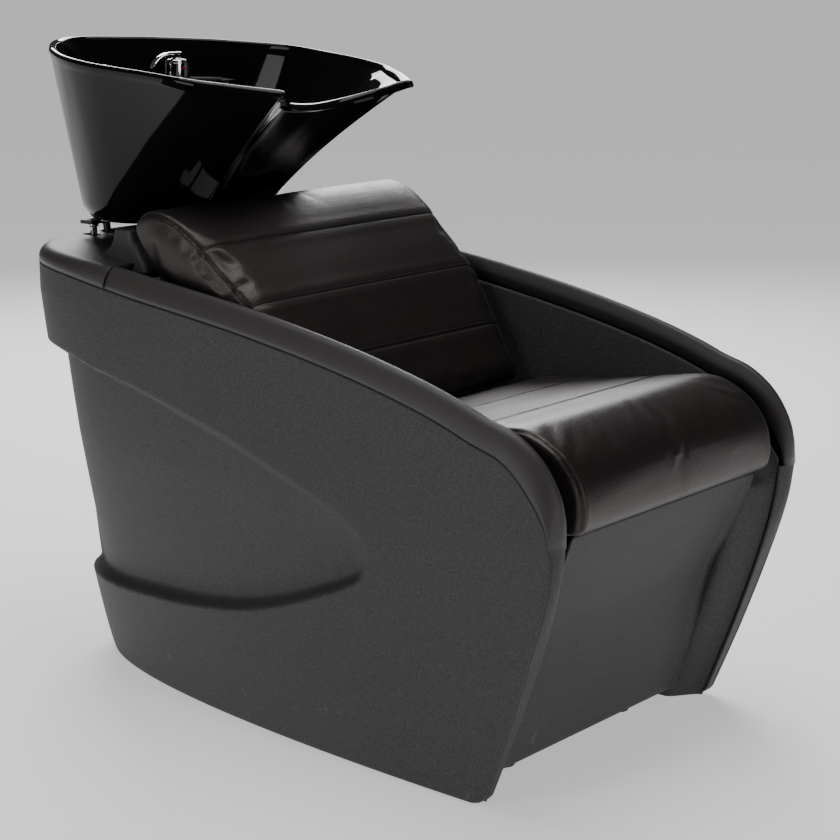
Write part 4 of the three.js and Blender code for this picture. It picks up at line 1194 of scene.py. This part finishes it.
def waste():
    collar = turned("waste_collar", [(16, 690), (21, 690), (21, 756), (30.5, 760.4), (32, 762),
                                     (31, 764), (27, 764.6),
                                     (22, 763.4), (17, 758)], 0, WASTE_Y, CHROME, "tilting_basin")
    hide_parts("waste_outlet")
    nut = turned("waste_backnut", [(24, 720), (30.2, 720), (31, 720.8), (31, 731.2), (30.2, 732), (24, 732)],
                 0, WASTE_Y, BLACK_PLASTIC, "tilting_basin", 24)
    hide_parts("waste_nut")
    basket = turned("hair_trap", [(0, 750), (14, 750), (14.5, 751), (14.5, 764.4), (18.2, 764.4),
                                  (19, 765.4),
                                  (18, 767), (5, 767.2), (3.4, 768.4), (4, 771), (3.4, 773.4), (0, 774)],
                    0, WASTE_Y, CHROME, "strainer")
    cut_with(basket, [prism("slit", circle(10.5 * math.cos(a), WASTE_Y + 10.5 * math.sin(a), 2.3, 20),
                            740, 780)
                      for a in np.linspace(0, 2 * math.pi, 8, endpoint=False)])
    basket.data.set_sharp_from_angle(angle=math.radians(40))
    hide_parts("hair_strainer")


def stay_rods():
    top = BASIN_FLOOR - 7 - GAP
    for hand, side in (("right", -1), ("left", 1)):
        rod = turned(f"{hand}_stay", [(0, 560), (5, 560), (6, 561.5), (6, 723), (8, 724), (8.5, 725),
                                      (8.5, top - 0.6),
                                      (8, top), (0, top)], side * ROD_X, ROD_Y, CHROME, "tilting_basin", 36)
        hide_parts(f"{hand}_stay_rod")


# ---------------------------------------------------------------- hoses
WASTE_ROUTE = [(0, 398, 688), (0, 400, 640), (0, 412, 560), (0, 425, 440), (0, 425, 300), (0, 415, 180),
               (0, 410, 71)]
SHOWER_ROUTE = [
    (-38, 520, 895), (-40, 512, 830), (-64, 484, 765), (-80, 477, 738), (-92, 462, 705), (-102, 424, 580),
    (-90, 386, 330), (-20, 366, 190), (34, 386, 330), (38, 428, 580), (38, 462, 705), (40, 478, 740),
    (50, 486, 790), (78, 497, 840), (100, 501, 890), (103, 501, 928)]
SUPPLY_ROUTES = {"hot": (99, 64), "cold": (110, 84)}


def supply_route(top, low):
    return [(top, 486, 929), (top, 486, 915), (lerp(top, low, 0.7), 484, 860), (low, 478, 790),
            (low, 475, 740),
            (low, 463, 704), (low, 436, 640), (low, 408, 500), (low, 380, 350), (low, 326, 200),
            (low, 304, 103)]


def hose(name, node, route, radius, count, material, sides=20, rib=None):
    """A hose tube along its route, from the fixed casing to the tilting basin; it is taken off every body.
    """
    line = through(route, count)
    along = np.gradient(line, axis=0)
    rings = []
    for place, forward in zip(line, along):
        forward = unit(forward)
        right = unit(np.cross(forward, (0.31, 0.95, 0.05)))
        up = np.cross(right, forward)
        turn = np.linspace(0, 2 * math.pi, sides, endpoint=False)[:, None]
        core = radius - (1.5 if rib else 0)
        rings.append(place + core * (np.cos(turn) * right + np.sin(turn) * up))
    points, faces = lofted(rings)
    tube = mesh_object(name, points, faces, material)
    tube.parent = None
    tubes = [tube]
    if rib:
        tubes.append(beads(name + "_ribs", [line[2:-2]], rib, 2 * radius, rib * 0.92, material, 28))
    for piece in tubes:
        if "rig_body" in piece:
            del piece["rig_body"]
        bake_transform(piece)
    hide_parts(node)


def hoses():
    hose("waste_flex", "waste_hose", WASTE_ROUTE, 19, 90, HOSE, 28, rib=6)
    hose("shower_flex", "shower_hose", SHOWER_ROUTE, 7, 260, HOSE, 16, rib=3.2)
    for label, (top, low) in SUPPLY_ROUTES.items():
        hose(f"{label}_flex", f"{label}_supply_hose", supply_route(top, low), 5, 120, BRAID,
             16)


# ---------------------------------------------------------------- small casing parts
def access_screws():
    for row, z in (("lower", 70), ("upper", 620)):
        for hand, side in (("right", -1), ("left", 1)):
            x = side * 118
            seat = float(plan_y(x, z) - recess_depth(TOP_REAR, z)) + 1.2
            profile = [(0, 0.6), (5.6, 0.6), (6.2, 1.2), (7, 2.4), (6.6, 3.0), (5, 3.4), (3.1, 3.5),
                       (2.6, 3.2), (2.5, 1.9),
                       (0, 1.9)]
            head = turned(f"{row}_{hand}_screw_head", profile, 0, 0, SCREW, "root", 36)
            place = np.array([v.co for v in head.data.vertices]) / MM
            place = np.stack([place[:, 0] + x, place[:, 2] + seat - 0.6, z - place[:, 1]], 1)
            head.data.vertices.foreach_set("co", (place * MM).ravel())
            head.data.update()
            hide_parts(f"{row}_{hand}_screw")


def levelling_feet():
    for hand, side in (("right", -1), ("left", 1)):
        for end, y in (("front", -415), ("rear", 272)):
            foot = turned(f"{hand}_{end}_glide", [(0, 0), (17, 0), (18, 1), (18, 5), (16, 7), (6, 7.6),
                                                  (5, 8.2),
                                                  (5, 11.6), (0, 11.6)], side * 150, y, RUBBER, "root", 40)
            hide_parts(f"{hand}_{end}_foot")


CARRIED_OVER = {
    "frame_steel": STEEL, "plywood": PLY, "waste_plastic": BLACK_PLASTIC, "brass": BRASS,
    "chrome_trim": CHROME,
    "shell_plastic": SHELL, "cap_plastic": CAP, "upholstery": LEATHER, "basin_glaze": GLAZE,
    "foot_rubber": RUBBER,
    "hose_plastic": HOSE, "hose_metal": BRAID, "red_dot": RED, "black_screw": SCREW}


def finish_carried_over():
    for part in frame["record"]["subparts"]:
        node = frame["nodes"][part["node"]]
        node.data.materials.clear()
        node.data.materials.append(CARRIED_OVER[part["material_slot"]])


# ---------------------------------------------------------------- camera, floor and light
def camera():
    data = bpy.data.cameras.new("viewpoint")
    data.lens = 93.45
    data.sensor_width = 36
    data.clip_end = 500
    piece = bpy.data.objects.new("viewpoint", data)
    bpy.context.scene.collection.objects.link(piece)
    piece.location = (-2.5742, -2.2308, 1.2016)
    back = Vector((-0.7566, -0.6158, 0.2198))
    piece.rotation_mode = "QUATERNION"
    piece.rotation_quaternion = (-back).to_track_quat("-Z", "Y")
    bpy.context.scene.camera = piece


def floor():
    mesh = bpy.data.meshes.new("floor")
    mesh.from_pydata([(-200, -200, 0), (200, -200, 0), (200, 200, 0), (-200, 200, 0)], [], [(0, 1, 2, 3)])
    piece = bpy.data.objects.new("floor", mesh)
    bpy.context.scene.collection.objects.link(piece)
    pale = Finish("pale_floor", (0.86, 0.86, 0.86), 0.9, Emission_Strength=0.55)
    pale.shader.inputs["Emission Color"].default_value = (1, 1, 1, 1)
    cloud = pale.noise(0.4, 2)
    pale.drive("Base Color", pale.mix(cloud, (0.85, 0.85, 0.85), (0.87, 0.87, 0.87)))
    mesh.materials.append(pale.material)


def area_light(name, place, target, size, power, tall=None):
    data = bpy.data.lights.new(name, "AREA")
    data.energy = power
    data.size = size
    if tall:
        data.shape = "RECTANGLE"
        data.size_y = tall
    piece = bpy.data.objects.new(name, data)
    bpy.context.scene.collection.objects.link(piece)
    piece.location = place
    piece.rotation_mode = "QUATERNION"
    piece.rotation_quaternion = (Vector(target) - Vector(place)).to_track_quat("-Z", "Y")


def lighting():
    world = bpy.data.worlds.new("studio")
    bpy.context.scene.world = world
    world.use_nodes = True
    world.node_tree.nodes["Background"].inputs["Color"].default_value = (1, 1, 1, 1)
    world.node_tree.nodes["Background"].inputs["Strength"].default_value = 0.05
    area_light("left_softbox", (-4.2, 0.6, 1.7), (0, 0.2, 0.7), 1.6, 45, 2.4)
    area_light("front_fill", (-0.6, -4.6, 1.6), (0, -0.2, 0.5), 2.4, 30)
    area_light("top_light", (0.2, 0.0, 3.4), (0, 0, 0.5), 2.2, 60)
    area_light("rear_softbox", (2.4, 2.4, 2.3), (0, 0, 0.6), 2.4, 110, 1.4)


camera()
floor()
lighting()
side_shells()
access_panel()
arm_caps()
rear_deck()
inner_panels()
front_fascia()
mount_cheeks()
basin()
seat_cushion()
back_cushion()
mixer()
hand_shower()
waste()
stay_rods()
hoses()
access_screws()
levelling_feet()
finish_carried_over()
